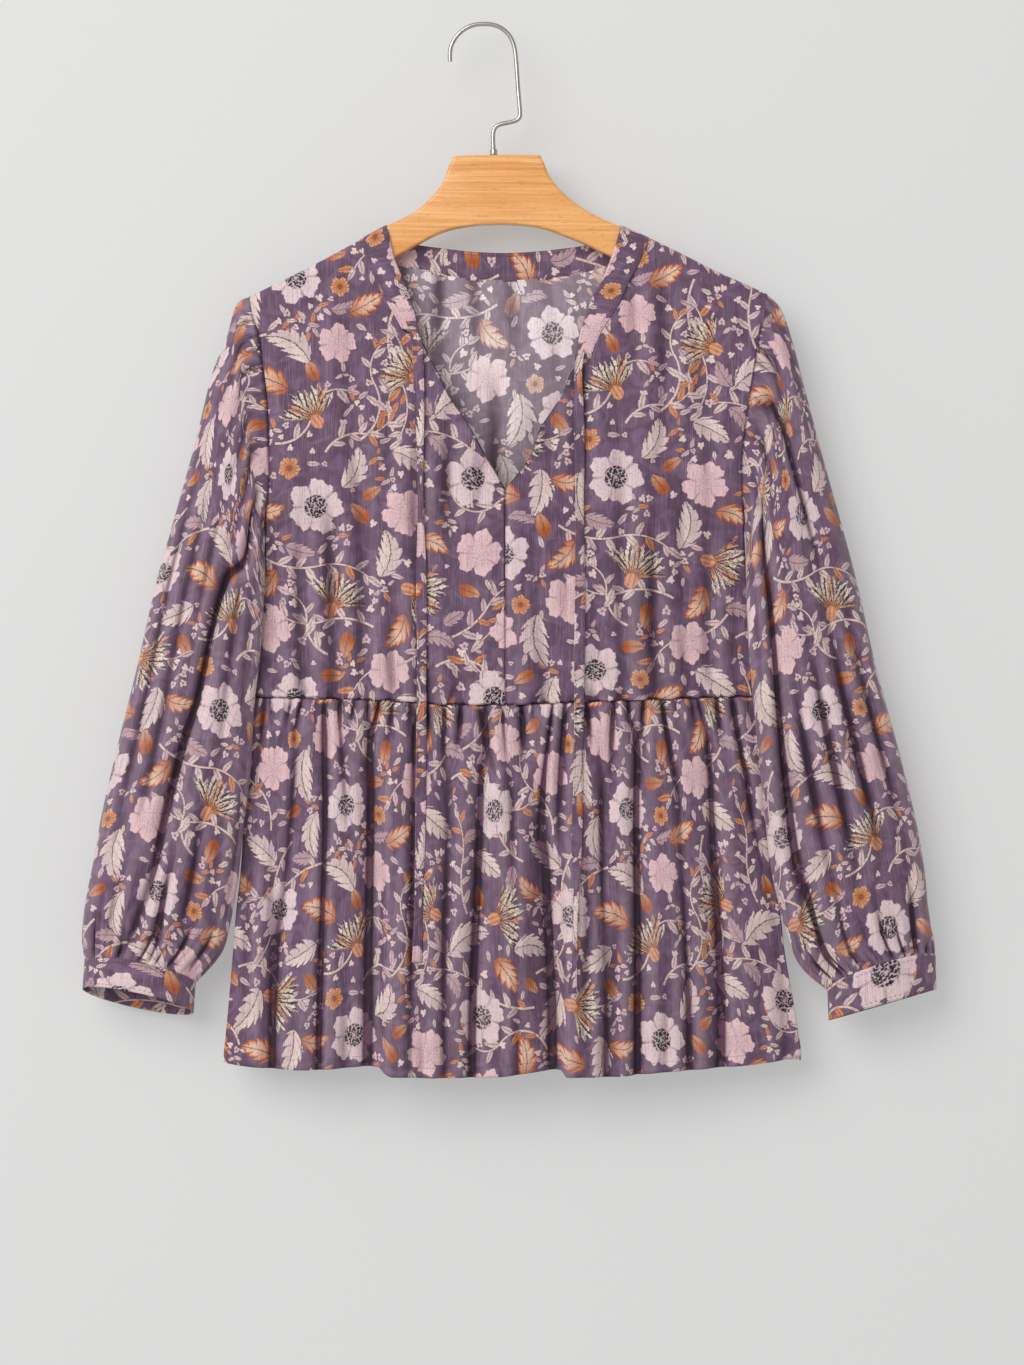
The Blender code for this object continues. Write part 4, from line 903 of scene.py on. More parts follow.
    def _leaves(self, graph: Graph, paint: Paint, shift: bpy.types.NodeSocket) -> None:
        """Paints the lobed leaves, pale, orange-edged or dusty, with dark hatched veins."""
        x, y, kind, seed = self._motif(graph, Layer.LEAVES, shift, 0.11)
        orange, dusty = kind.equals(2), kind.equals(3)
        off = y - (x * x).inverse() * seed.by("MULTIPLY_ADD", 0.8, -0.4)
        side = abs(off)
        taper = (x * x).by("MULTIPLY_ADD", -1.0, 1.0, clamp=True).by("POWER", 0.62)
        tooth = (x * 2.1 + side * -1.7 + off * 0.9 + seed * 3.0).by("FRACT")
        edge = taper * x.by("MULTIPLY_ADD", -0.16, 0.56) * (tooth.by("POWER", 0.6) * 0.52 + 0.52)
        inside = (edge - side).ramp(0.0, 0.03) * kind.ramp(0.2, 0.8)
        colour = Paint(graph, "#DBC9C3")
        colour.cover(off.ramp(-0.02, 0.02), "#C4AFB0", 0.6)
        warm = Paint(graph, "#E0BFAA")
        warm.cover((edge - side).ramp(0.20, 0.05), "#C56B38")
        warm.cover(x.ramp(0.1, -0.7), "#A85C38", 0.7)
        colour.cover(orange, warm)
        colour.cover(dusty, "#AB8C94", 0.8)
        rib = (x * 8.1 + side * -10.5 + seed * 9.0).by("FRACT")
        colour.cover(rib.ramp(0.26, 0.08) * side.ramp(0.34, 0.02), "#54434C", 0.6)
        colour.cover(tooth.ramp(0.14, 0.02) * side.ramp(0.08, 0.16), "#54424D", 0.6)
        colour.cover(side.ramp(0.035, 0.012), "#3B2D38", 0.85)
        paint.cover(inside, colour)

    def _sprays(self, graph: Graph, paint: Paint, shift: bpy.types.NodeSocket) -> None:
        """Paints the thistle-like sprays: a peach bud with short pale strokes that fan out over dark gaps."""
        x, y, kind, seed = self._motif(graph, Layer.SPRAYS, shift, 0.10)
        out = x + 0.62
        reach = distance(out, y)
        angle = y.by("ARCTAN2", out)
        tips = abs(angle.wave(4.0, seed * 20.0)) * 0.26 + angle.wave(29.0, seed * 9.0) * 0.13 + 1.14
        fan = ((abs(angle) * -1.0 + 1.12).ramp(0.0, 0.06) * (tips - reach).ramp(0.0, 0.05)
               * kind.ramp(0.2, 0.8))
        lean = angle.wave(8.0, seed * 30.0).by("MULTIPLY", 3.0).by("MINIMUM", 1.0).by("MAXIMUM", -1.0)
        paint.cover(fan * (tips * 0.94 - reach).ramp(0.0, 0.06), "#2C2126", 0.8)
        colour = Paint(graph, "#BF7A50")
        colour.cover(reach.ramp(0.3, 0.6), "#CDB39C")
        colour.cover(reach.ramp(0.6, 1.1), "#DDD0C2")
        colour.cover(angle.wave(5.0, seed * 8.0).ramp(0.7, 0.9) * reach.ramp(0.5, 0.8), "#C27A50", 0.7)
        stroke = (angle * 31.0 + reach * lean * 7.0).by("SINE").ramp(-0.5, 0.0)
        broken = (reach * 3.1 + angle.wave(11.0) * 0.5 + seed * 4.0).by("FRACT").ramp(0.05, 0.15)
        paint.cover(fan * stroke * broken, colour)
        bud = abs(x + 0.66).by("POWER", 2.0) * 11.0 + (y * y) * 16.0
        cup = Paint(graph, "#D09C80")
        cup.cover(y.wave(34.0, x * 4.0).ramp(0.2, 0.8), "#8F5540", 0.6)
        paint.cover(bud.ramp(1.0, 0.86) * kind.ramp(0.2, 0.8), cup)

    def _flowers(self, graph: Graph, paint: Paint, shift: bpy.types.NodeSocket) -> None:
        """Paints the open flowers: pale with a dark stippled eye, pale without, and small orange ones."""
        x, y, kind, seed = self._motif(graph, Layer.FLOWERS, shift, 0.09)
        open_eye, orange = kind.equals(1), kind.equals(3)
        radius = distance(x, y)
        angle = y.by("ARCTAN2", x) + seed * 6.28
        lobe = abs(angle.by("MULTIPLY", 2.5).by("COSINE"))
        edge = (lobe.by("POWER", 0.5) * 0.26 + angle.wave(7.0, seed * 30.0) * 0.06
                + angle.wave(17.0) * 0.03 + 0.70)
        inside = (edge - radius).ramp(0.0, 0.04) * kind.ramp(0.2, 0.8)
        colour = Paint(graph, "#DBC7C9")
        colour.cover(kind.equals(2), "#DDBEC0")
        colour.cover(seed.ramp(0.4, 1.0), "#CAABB0", 0.5)
        colour.cover(angle.wave(46.0, radius * 3.0).ramp(0.1, 0.9) * radius.ramp(0.85, 0.3), "#9E8A95", 0.5)
        colour.cover(lobe.ramp(0.26, 0.05) * radius.ramp(0.3, 0.55), "#8A7482", 0.6)
        warm = Paint(graph, "#C88C64")
        warm.cover(radius.ramp(0.45, 0.9), "#D3A88A")
        warm.cover(angle.wave(14.0, radius * 6.0).ramp(0.2, 0.9), "#A05C3A", 0.7)
        warm.cover(radius.ramp(0.35, 0.2), "#6F3A28", 0.8)
        colour.cover(orange, warm)
        stipple = graph.add("ShaderNodeTexVoronoi", {"voronoi_dimensions": "2D"}, {
            "Vector": graph.add("ShaderNodeCombineXYZ", None, {0: x, 1: y * 1.25}).outputs[0],
            "Scale": 9.5, "Randomness": 0.75})
        dots = Field(graph, stipple.outputs["Distance"])
        colour.cover(radius.ramp(0.44, 0.36) * open_eye, "#A999A1", 0.6)
        eye = dots.ramp(0.50, 0.42) * radius.ramp(0.42, 0.38) * radius.ramp(0.04, 0.10)
        colour.cover(eye * open_eye, "#151015")
        colour.cover(dots.ramp(0.28, 0.18) * radius.ramp(0.85, 0.3) * open_eye.inverse(), "#87707E", 0.6)
        paint.cover(inside, colour)

    def _cloth(self, graph: Graph, paint: Paint, uv: bpy.types.NodeSocket, mottle: Field) -> None:
        """Gives the print its cloth: slubs, crinkle, stitching, the paler wrong side, painted shade in
        troughs and along seams, a faint painted highlight on ridges, and a soft sheen.
        """
        slub = Field(graph, graph.noise(uv, 2.0, (
            1 / (self.slub_mm * MM), 1 / (self.slub_length_mm * MM), 1.0), flat=True).outputs[0])
        crinkle = Field(graph, graph.noise(uv, 1.0, (
            1 / (self.crinkle_mm * MM), 0.22 / (self.crinkle_mm * MM), 1.0), flat=True).outputs[0])
        paint.cover(mottle.ramp(0.52, 0.72), "#6A4F58", 0.20)
        paint.cover(slub.ramp(0.46, 0.30), "#54424F", 0.30)
        paint.cover(slub.ramp(0.58, 0.74), "#CDBEC4", 0.16)
        wrong, from_edge, along = graph.split(graph.stored("trim").outputs["Vector"])
        stitch = abs(from_edge).ramp(0.55, 0.3) * along.wave(2 * math.pi / self.stitch_mm).ramp(-0.3, 0.1)
        paint.cover(stitch, "#3F3347", 0.45)
        faded = graph.add("ShaderNodeHueSaturation", None, {
            "Saturation": 0.62, "Value": 1.5, "Color": paint.colour})
        paint.cover(wrong, faded.outputs[0], 0.9)
        paint.cover(wrong, "#B5A9AF", 0.26)
        crease = Field(graph, graph.stored("crease").outputs["Fac"])
        # painted shade: a purple-tinted darkening multiplied in where the cloth lies in a trough or along a
        # sewn end
        paint.cover(crease.ramp(-0.12, -1.35), "#70596C", 1.0, "MULTIPLY")
        # painted highlight: a faint lightening where the cloth stands out on a ridge
        paint.cover(crease.ramp(0.15, 1.1), "#DCCDD2", 0.10)
        height = slub * 0.45 + crinkle * 0.8 + stitch * -0.6
        bump = graph.add("ShaderNodeBump", None, {"Height": height, "Strength": 0.5, "Distance": 0.0006})
        dyed = graph.add("ShaderNodeHueSaturation", None, {
            "Saturation": self.saturation, "Color": paint.colour})
        graph.surface({"Base Color": dyed.outputs[0], "Roughness": 0.62, "Specular IOR Level": 0.3,
                       "Sheen Weight": 0.25, "Sheen Roughness": 0.45, "Normal": bump.outputs[0]})


@dataclass(frozen=True)
class VarnishedBeech:
    """Pale beech under clear satin varnish: warm, with fine long grain and soft highlights."""

    name: str = "varnished_beech"
    grain_mm: float = 2.2
    grain_length_mm: float = 90.0

    def build(self) -> bpy.types.Material:
        """Makes the material.

        Returns:
            The material.
        """
        graph = Graph(self.name)
        where = graph.add("ShaderNodeTexCoord").outputs["Object"]
        cells = (1 / (self.grain_length_mm * MM), 1 / (self.grain_mm * 4 * MM), 1 / (self.grain_mm * MM))
        grain = Field(graph, graph.noise(where, 4.0, cells, Distortion=0.7).outputs[0])
        broad = Field(graph, graph.noise(where, 2.0, (5.0, 30.0, 62.0), Distortion=0.4).outputs[0])
        pore = Field(graph, graph.noise(where, 1.0, (180.0, 900.0, 1400.0)).outputs[0])
        paint = Paint(graph, "#E2A25C")
        paint.cover(broad.ramp(0.44, 0.62), "#D8924A", 0.8)
        paint.cover(grain.ramp(0.52, 0.66), "#C67F3C", 0.55)
        paint.cover(grain.ramp(0.46, 0.36), "#EFBB7C", 0.6)
        paint.cover(pore.ramp(0.64, 0.72), "#A9642B", 0.45)
        bump = graph.add("ShaderNodeBump", None, {
            "Height": grain + pore, "Strength": 0.15, "Distance": 0.0002})
        graph.surface({"Base Color": paint.colour, "Roughness": 0.42, "Coat Weight": 0.3,
                       "Coat Roughness": 0.25, "Normal": bump.outputs[0]})
        return graph.material


@dataclass(frozen=True)
class NickelPlatedWire:
    """Nickel-plated drawn steel wire: bright grey, with the fine lengthwise streaks of the die."""

    name: str = "nickel_plated_wire"

    def build(self) -> bpy.types.Material:
        """Makes the material.

        Returns:
            The material.
        """
        graph = Graph(self.name)
        where = graph.add("ShaderNodeTexCoord").outputs["Object"]
        streak = Field(graph, graph.noise(where, 2.0, (900.0, 900.0, 60.0)).outputs[0])
        paint = Paint(graph, "#B9B5AE")
        paint.cover(streak.ramp(0.4, 0.7), "#8F8B85", 0.5)
        graph.surface({"Base Color": paint.colour, "Metallic": 1.0, "Roughness": streak * 0.16 + 0.2})
        return graph.material


@dataclass
class Cloth:
    """Makes sheets of printed cloth."""

    material: bpy.types.Material
    print_repeat: PrintRepeat
    wall: float = 0.6
    least_cut: float = 0.01      # metres, the narrowest width that a cut is logged with
    seam_shade: float = 1.3      # painted shade along sewn ends, as if they lay this many millimetres deeper
    no_stitch: float = 99.0      # distance to the stitch line where there is none

    ENDS: ClassVar[dict[str, tuple]] = {"top": (0, slice(None)), "bottom": (-1, slice(None)),
                                        "first": (slice(None), 0), "last": (slice(None), -1)}

    def sheet(self, node: str, points: np.ndarray, flat: np.ndarray, outward: int, held: str,
              rests_on: list[str], wrap: bool = False, wall: float | None = None,
              from_edge: np.ndarray | None = None, start: tuple[float, float] = (0.0, 0.0),
              doubled: bool = False, seams: tuple[str, ...] = (),
              squared: dict[str, tuple[float, float, float]] | None = None) -> bpy.types.Object:
        """Args:
            node: The CAD node that it replaces.
            points: The sheet's middle, rows by columns by 3, in millimetres.
            flat: The same places on the flat cut, with one more column if the sheet is a ring.
            outward: 1 if across times down points out of the blouse, and -1 if it points in.
            held: How the cloth is held; not used.
            rests_on: What it hangs from; not used.
            wrap: Whether the last column joins the first.
            wall: The thickness, if not the usual one.
            from_edge: Distance from each place to the stitch line, in millimetres, as the flat grid.
            start: Where the piece was cut from the printed cloth.
            doubled: Whether the cloth is folded double, so that its right side shows all round.
            seams: The end rows and columns that are sewn to a neighbour, along which shade is painted.
            squared: For an end row or column, the axis that its rim is square to.

        Returns:
            The piece.
        """
        rows, columns = points.shape[:2]
        normals = outward * self.normals(points, wrap)
        # How far each place stands out: the material paints shade where this sinks and a faint highlight
        # where it rises, and sewn ends are lowered so that shade is painted along the seams.
        creases = self._creases(points, normals, wrap)
        for end in seams:
            creases[self.ENDS[end]] -= self.seam_shade
        for end, axis in (squared or {}).items():
            where = self.ENDS[end]
            unit = np.array(axis, float) / np.linalg.norm(axis)
            level = normals[where] - (normals[where] @ unit)[:, None] * unit
            normals[where] = level / np.linalg.norm(level, axis=1, keepdims=True)
        half = (self.wall if wall is None else wall) / 2
        vertices = np.concatenate([(points + normals * half).reshape(-1, 3),
                                   (points - normals * half).reshape(-1, 3)]) * MM
        i, j, side = self._faces(rows, columns, wrap)
        if outward < 0:
            i, j, side = i[:, ::-1], j[:, ::-1], side[:, ::-1]
        faces = side * rows * columns + i * columns + j % columns
        mesh = bpy.data.meshes.new("cloth_" + node)
        mesh.from_pydata(vertices, [], faces)
        mesh.update()
        cut = flat[i, j]
        mesh.uv_layers.new(name="cut").data.foreach_set("uv", (cut * MM).ravel())
        for layer, values in self.print_repeat.lay(cut + np.array(start)).items():
            self._attribute(mesh, layer.value, values)
        edge = np.full(flat.shape[:2], self.no_stitch) if from_edge is None else from_edge
        along = flat[..., 0] if from_edge is None else flat.sum(axis=2)
        wrong = side * (0 if doubled else 1)
        self._attribute(mesh, "trim", np.stack([wrong, edge[i, j], along[i, j]], axis=2))
        # The relief for the painted shade and highlight, turned over for the inside.
        self._attribute(mesh, "crease", creases[i, j % columns] * np.where(side > 0, -1, 1))
        mesh.materials.append(self.material)
        mesh.shade_smooth()
        made = bpy.data.objects.new("cloth_" + node, mesh)
        bpy.context.scene.collection.objects.link(made)
        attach(made, "root")
        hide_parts(node)
        size, area = self._cut_size(flat)
        size = (max(size[0], self.least_cut), size[1])
        LOG.info("%s: %d faces, cut %.0f by %.0f mm, %.4f square metres", made.name, len(mesh.polygons),
                 size[0] * 1000, size[1] * 1000, area)
        return made

    @staticmethod
    def _attribute(mesh: bpy.types.Mesh, name: str, values: np.ndarray) -> None:
        """Stores one number or three at each corner of each face."""
        kind, key = ("FLOAT", "value") if values.ndim == 2 else ("FLOAT_VECTOR", "vector")
        made = mesh.attributes.new(name, kind, "CORNER")
        made.data.foreach_set(key, np.ascontiguousarray(values, np.float32).ravel())

    @staticmethod
    def _creases(points: np.ndarray, normals: np.ndarray, wrap: bool, reach: int = 5) -> np.ndarray:
        """Measures how far each place stands out of its surroundings, less than nothing in a trough.

        Args:
            points: The sheet's middle, in millimetres.
            normals: Its unit normals.
            wrap: Whether the last column joins the first.
            reach: How many columns to each side are its surroundings.

        Returns:
            The distance at each place.
        """
        wide = np.pad(points, ((0, 0), (reach, reach), (0, 0)), mode="wrap" if wrap else "edge")
        total = sum(wide[:, k:k + points.shape[1]] for k in range(2 * reach + 1))
        return ((points - total / (2 * reach + 1)) * normals).sum(axis=2)

    @staticmethod
    def normals(points: np.ndarray, wrap: bool) -> np.ndarray:
        """Gives the unit normals of a grid of points."""
        if wrap:
            ringed = np.concatenate([points[:, -1:], points, points[:, :1]], axis=1)
            across = ringed[:, 2:] - ringed[:, :-2]
        else:
            across = np.gradient(points, axis=1)
        normals = np.cross(across, np.gradient(points, axis=0))
        return normals / np.linalg.norm(normals, axis=2, keepdims=True)

    @staticmethod
    def _faces(rows: int, columns: int, wrap: bool) -> tuple[np.ndarray, np.ndarray, np.ndarray]:
        """Lists the corners of all faces: the outside, the inside and the rims.

        Args:
            rows: The grid's rows.
            columns: Its columns.
            wrap: Whether the last column joins the first.

        Returns:
            The row, column and side (0 outside, 1 inside) of each corner, faces by 4.
        """
        across = np.arange(columns if wrap else columns - 1)
        down = np.arange(rows - 1)
        a, b = (grid.ravel() for grid in np.meshgrid(down, across, indexing="ij"))
        outer = (np.stack([a, a, a + 1, a + 1], 1), np.stack([b, b + 1, b + 1, b], 1))
        parts = [(outer[0], outer[1], np.zeros_like(outer[0])),
                 (outer[0][:, ::-1], outer[1][:, ::-1], np.ones_like(outer[0]))]
        turns = np.array([[0, 0, 1, 1]])
        for row, first, second in ((0, across + 1, across), (rows - 1, across, across + 1)):
            j = np.stack([first, second, second, first], 1)
            parts.append((np.full_like(j, row), j, np.repeat(turns, len(j), 0)))
        if not wrap:
            for column, first, second in ((0, down, down + 1), (columns - 1, down + 1, down)):
                i = np.stack([first, second, second, first], 1)
                parts.append((i, np.full_like(i, column), np.repeat(turns, len(i), 0)))
        return tuple(np.concatenate([part[k] for part in parts]) for k in range(3))

    @staticmethod
    def _cut_size(flat: np.ndarray) -> tuple[tuple[float, float], float]:
        """Measures the flat cut.

        Args:
            flat: The grid of places on it, in millimetres.

        Returns:
            Its width and length, and its area, in metres.
        """
        width, length = (float(np.ptp(flat[..., k])) * MM for k in (0, 1))
        one, two = flat[1:, 1:] - flat[:-1, :-1], flat[1:, :-1] - flat[:-1, 1:]
        area = float(np.abs(one[..., 0] * two[..., 1] - one[..., 1] * two[..., 0]).sum() / 2) * MM * MM
        return (width, length), min(area, width * length)


@dataclass
class Bodice:
    """The two fronts and the back above the waist seam."""

    cloth: Cloth
    columns: int = 84
    rows: int = 150
    turn_rows: int = 7
    drape: float = 1.35          # how far its soft creases stand out
    gather_depth: float = 1.3
    gather_reach: float = 13.0
    seam_width: float = 1.6      # half width of the line sunk along the centre front seam
    pull_width: float = 9.0      # the same of the small pulls beside that seam
    dip_width: float = 5.0       # the same of the dip beside the sleeve

    def _shares(self) -> np.ndarray:
        """Gives the rows' shares of the way down, closer together over the hanger's arm."""
        turn = ARM_ROUND * (1 - np.cos(np.linspace(0, math.pi / 2, self.turn_rows)))
        turn = turn / (WAIST_DROP - NECK_POINT_DROP)
        return np.concatenate([turn[:-1], np.linspace(turn[-1], 1.0, self.rows)])

    def _gathers(self, x: np.ndarray, level: np.ndarray, count: int, seed: int) -> np.ndarray:
        """Gives the depth of the small gathers that rise from the waist seam."""
        place = (x + 190.0) / 400.0
        return self.gather_depth * gathers(place, WAIST.at("drop", x) - level, count, seed,
                                           self.gather_reach)

    def front(self, left: bool) -> bpy.types.Object:
        """Builds one front.

        Args:
            left: Whether it is the one on the left of the picture.

        Returns:
            The piece.
        """
        neck = NECK_LEFT if left else NECK_RIGHT
        shares = self._shares()
        drop_in = blend(NECK_POINT_DROP, float(WAIST.at("drop", CENTRE_X)), shares)
        inner = np.where(drop_in < SPLIT_FOOT, neck.at("x", drop_in), CENTRE_X)
        top = Form.shoulder_drop(inner)
        inner_share = (drop_in - top) / (WAIST.at("drop", inner) - top)
        outer = Form.edge_at(shares, left)
        t = np.linspace(0, 1, self.columns + 1)[None, :]
        x = blend(inner[:, None], outer[:, None], t)
        level = blend(Form.shoulder_drop(x), WAIST.at("drop", x),
                      blend(inner_share[:, None], shares[:, None], t))
        depth = Form.half_depth(x, level, BODICE_FOLDS_FRONT)
        calm = eased(np.abs(x - outer[:, None]), 1.0, 25.0) * eased(level - Form.shoulder_drop(x), 4.0, 40.0)
        depth = depth + ripple(x, level, 34.0, 320.0, 3 if left else 4) * self.drape * calm
        from_seam = np.abs(x - CENTRE_X)
        depth = depth + (np.sin(level * 0.9 + 2.2 * np.sin(level * 0.11)) * 0.28
                         * close_to(from_seam, self.pull_width)
                         * eased(level, SPLIT_FOOT - 10, SPLIT_FOOT + 10))
        depth = depth - 0.7 * close_to(from_seam, self.seam_width) * eased(level, SPLIT_FOOT, SPLIT_FOOT + 8)
        depth = depth - self._gathers(x, level, 33, 21)
        sunk = eased(level, 225.0, 250.0) * eased(UNDERARM - 8.0 - level, 0.0, 30.0)
        depth = depth - 2.2 * close_to(x - outer[:, None], self.dip_width) * sunk
        points = np.stack([x, -np.maximum(depth, 0.1), -level], axis=2)
        flat = np.stack([x, level], axis=2)
        to_neck = np.where(level < SPLIT_FOOT + 2, np.abs(x - inner[:, None]) - 3.0, self.cloth.no_stitch)
        name = "front_left" if left else "front_right"
        return self.cloth.sheet(name, points, flat, 1 if left else -1, "hung", ["hanger_body"],
                                from_edge=to_neck, start=(0.0, 0.0) if left else (61.0, 23.0),
                                squared={"top": (0, 1, 0)}, seams=("top", "bottom", "first", "last"))

    def back(self) -> bpy.types.Object:
        """Builds the back.

        Returns:
            The piece.
        """
        shares = self._shares()[:, None]
        tip_left, tip_right = float(Form.side_x(0.0, True)), float(Form.side_x(0.0, False))
        columns = 2 * self.columns
        top_x = np.linspace(tip_left, tip_right, columns + 1)
        for point in (NECK_POINT_LEFT, NECK_POINT_RIGHT):
            top_x[np.argmin(np.abs(top_x - point))] = point
        t = ((top_x - tip_left) / (tip_right - tip_left))[None, :]
        left = Form.edge_at(shares[:, 0], True)[:, None]
        right = Form.edge_at(shares[:, 0], False)[:, None]
        x = blend(left, right, t)
        near = np.maximum(eased(NECK_POINT_LEFT - top_x, 0.0, NECK_POINT_LEFT - tip_left),
                          eased(top_x - NECK_POINT_RIGHT, 0.0, tip_right - NECK_POINT_RIGHT))[None, :]
        seen = blend(top_x[None, :], x, near)
        within = (seen >= NECK_POINT_LEFT) & (seen <= NECK_POINT_RIGHT)
        top = np.where(within, BACK_NECK.at("drop", seen), Form.shoulder_drop(seen))
        x = blend(top_x[None, :], x, eased(shares, 0.0, 0.02))
        level = blend(top, WAIST.at("drop", x), shares)
        depth = Form.half_depth(x, level, BODICE_FOLDS_BACK)
        calm = eased(np.abs(x - left), 1.0, 25.0) * eased(np.abs(x - right), 1.0, 25.0)
        calm = calm * eased(level - Form.shoulder_drop(x), 4.0, 40.0)
        depth = depth + ripple(x, level, 36.0, 320.0, 5) * self.drape * calm
        depth = depth - self._gathers(x, level, 30, 22)
        points = np.stack([x, np.maximum(depth, 0.1), -level], axis=2)
        flat = np.stack([-x, level], axis=2)
        return self.cloth.sheet("back", points, flat, 1, "hung", ["hanger_body"], start=(131.0, 201.0),
                                seams=("top", "bottom", "first", "last"))


@dataclass
class Peplum:
    """The gathered skirts of the blouse, front and back, with a turned and stitched hem."""

    cloth: Cloth
    columns: int = 300
    rows: int = 104
    cut_width: float = 560.0
    cut_length: float = 292.0
    hem_turn: float = 8.0
    pleat_depth: float = 4.6
    pleat_reach: float = 46.0    # the usual length of a pleat
    long_reach: float = 120.0    # the same of the few broad ones that go further down
    drape: float = 0.5           # how far the soft creases stand out at the waist seam
    loose_drape: float = 1.5     # how much further they do lower down

    def build(self, facing: int, count: int, folds: list[Fold], creases: list[Fold],
              seed: int) -> bpy.types.Object:
        """Builds one skirt.

        Args:
            facing: -1 for the front and 1 for the back.
            count: How many pleats hang from the waist seam.
            folds: The large folds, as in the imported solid.
            creases: The sharper creases between them.
            seed: Which row of pleats.

        Returns:
            The piece.
        """
        share = (np.linspace(0, 1, self.rows + 1) ** 1.12)[:, None]
        t = np.linspace(0, 1, self.columns + 1)[None, :]
        level = blend(WAIST_DROP, HEM_DROP, share)
        x = blend(Form.side_x(level, True), Form.side_x(level, False), t)
        hem = HEM.at("drop", x) if facing < 0 else HEM_DROP + 1.5 * np.sin(x / 21.0)
        level = blend(WAIST.at("drop", x), hem, share)
        below = level - WAIST.at("drop", x)
        calm = eased(np.minimum(t, 1 - t) * self.columns, 0.0, 14.0)
        depth = Form.half_depth(x, level, folds) + Form.fold_height(creases, x, level) * calm
        grooves = (gathers(t, below, count, seed, self.pleat_reach)
                   + 0.9 * gathers(t, below, 14, seed + 1, self.long_reach, 0.10))
        depth = depth + calm * (1.6 - self.pleat_depth * grooves * (0.4 + 0.6 * eased(below, 0.0, 9.0)))
        loose = self.drape + self.loose_drape * eased(below, 40.0, 200.0)
        depth = depth + calm * ripple(x, level, 30.0, 420.0, seed + 2) * loose
        depth = depth - 0.9 * close_to(below, 1.3)
        depth = depth + 0.35 * eased(hem - level, self.hem_turn + 0.8, self.hem_turn - 0.8)
        points = np.stack([x, facing * np.maximum(depth, 0.5), -level], axis=2)
        flat = np.stack([-facing * (t - 0.5) * self.cut_width + 0 * share,
                         share * self.cut_length + 0 * t], axis=2)
        from_hem = np.broadcast_to((1 - share) * self.cut_length - self.hem_turn, flat.shape[:2])
        name = "peplum_front" if facing < 0 else "peplum_back"
        start = (20.0, 118.0) if facing < 0 else (170.0, 60.0)
        return self.cloth.sheet(name, points, flat, facing, "gathered",
                                ["cloth_front_left", "cloth_front_right", "cloth_back"], from_edge=from_hem,
                                start=start, squared={"top": (0, 0, 1)}, seams=("top",))


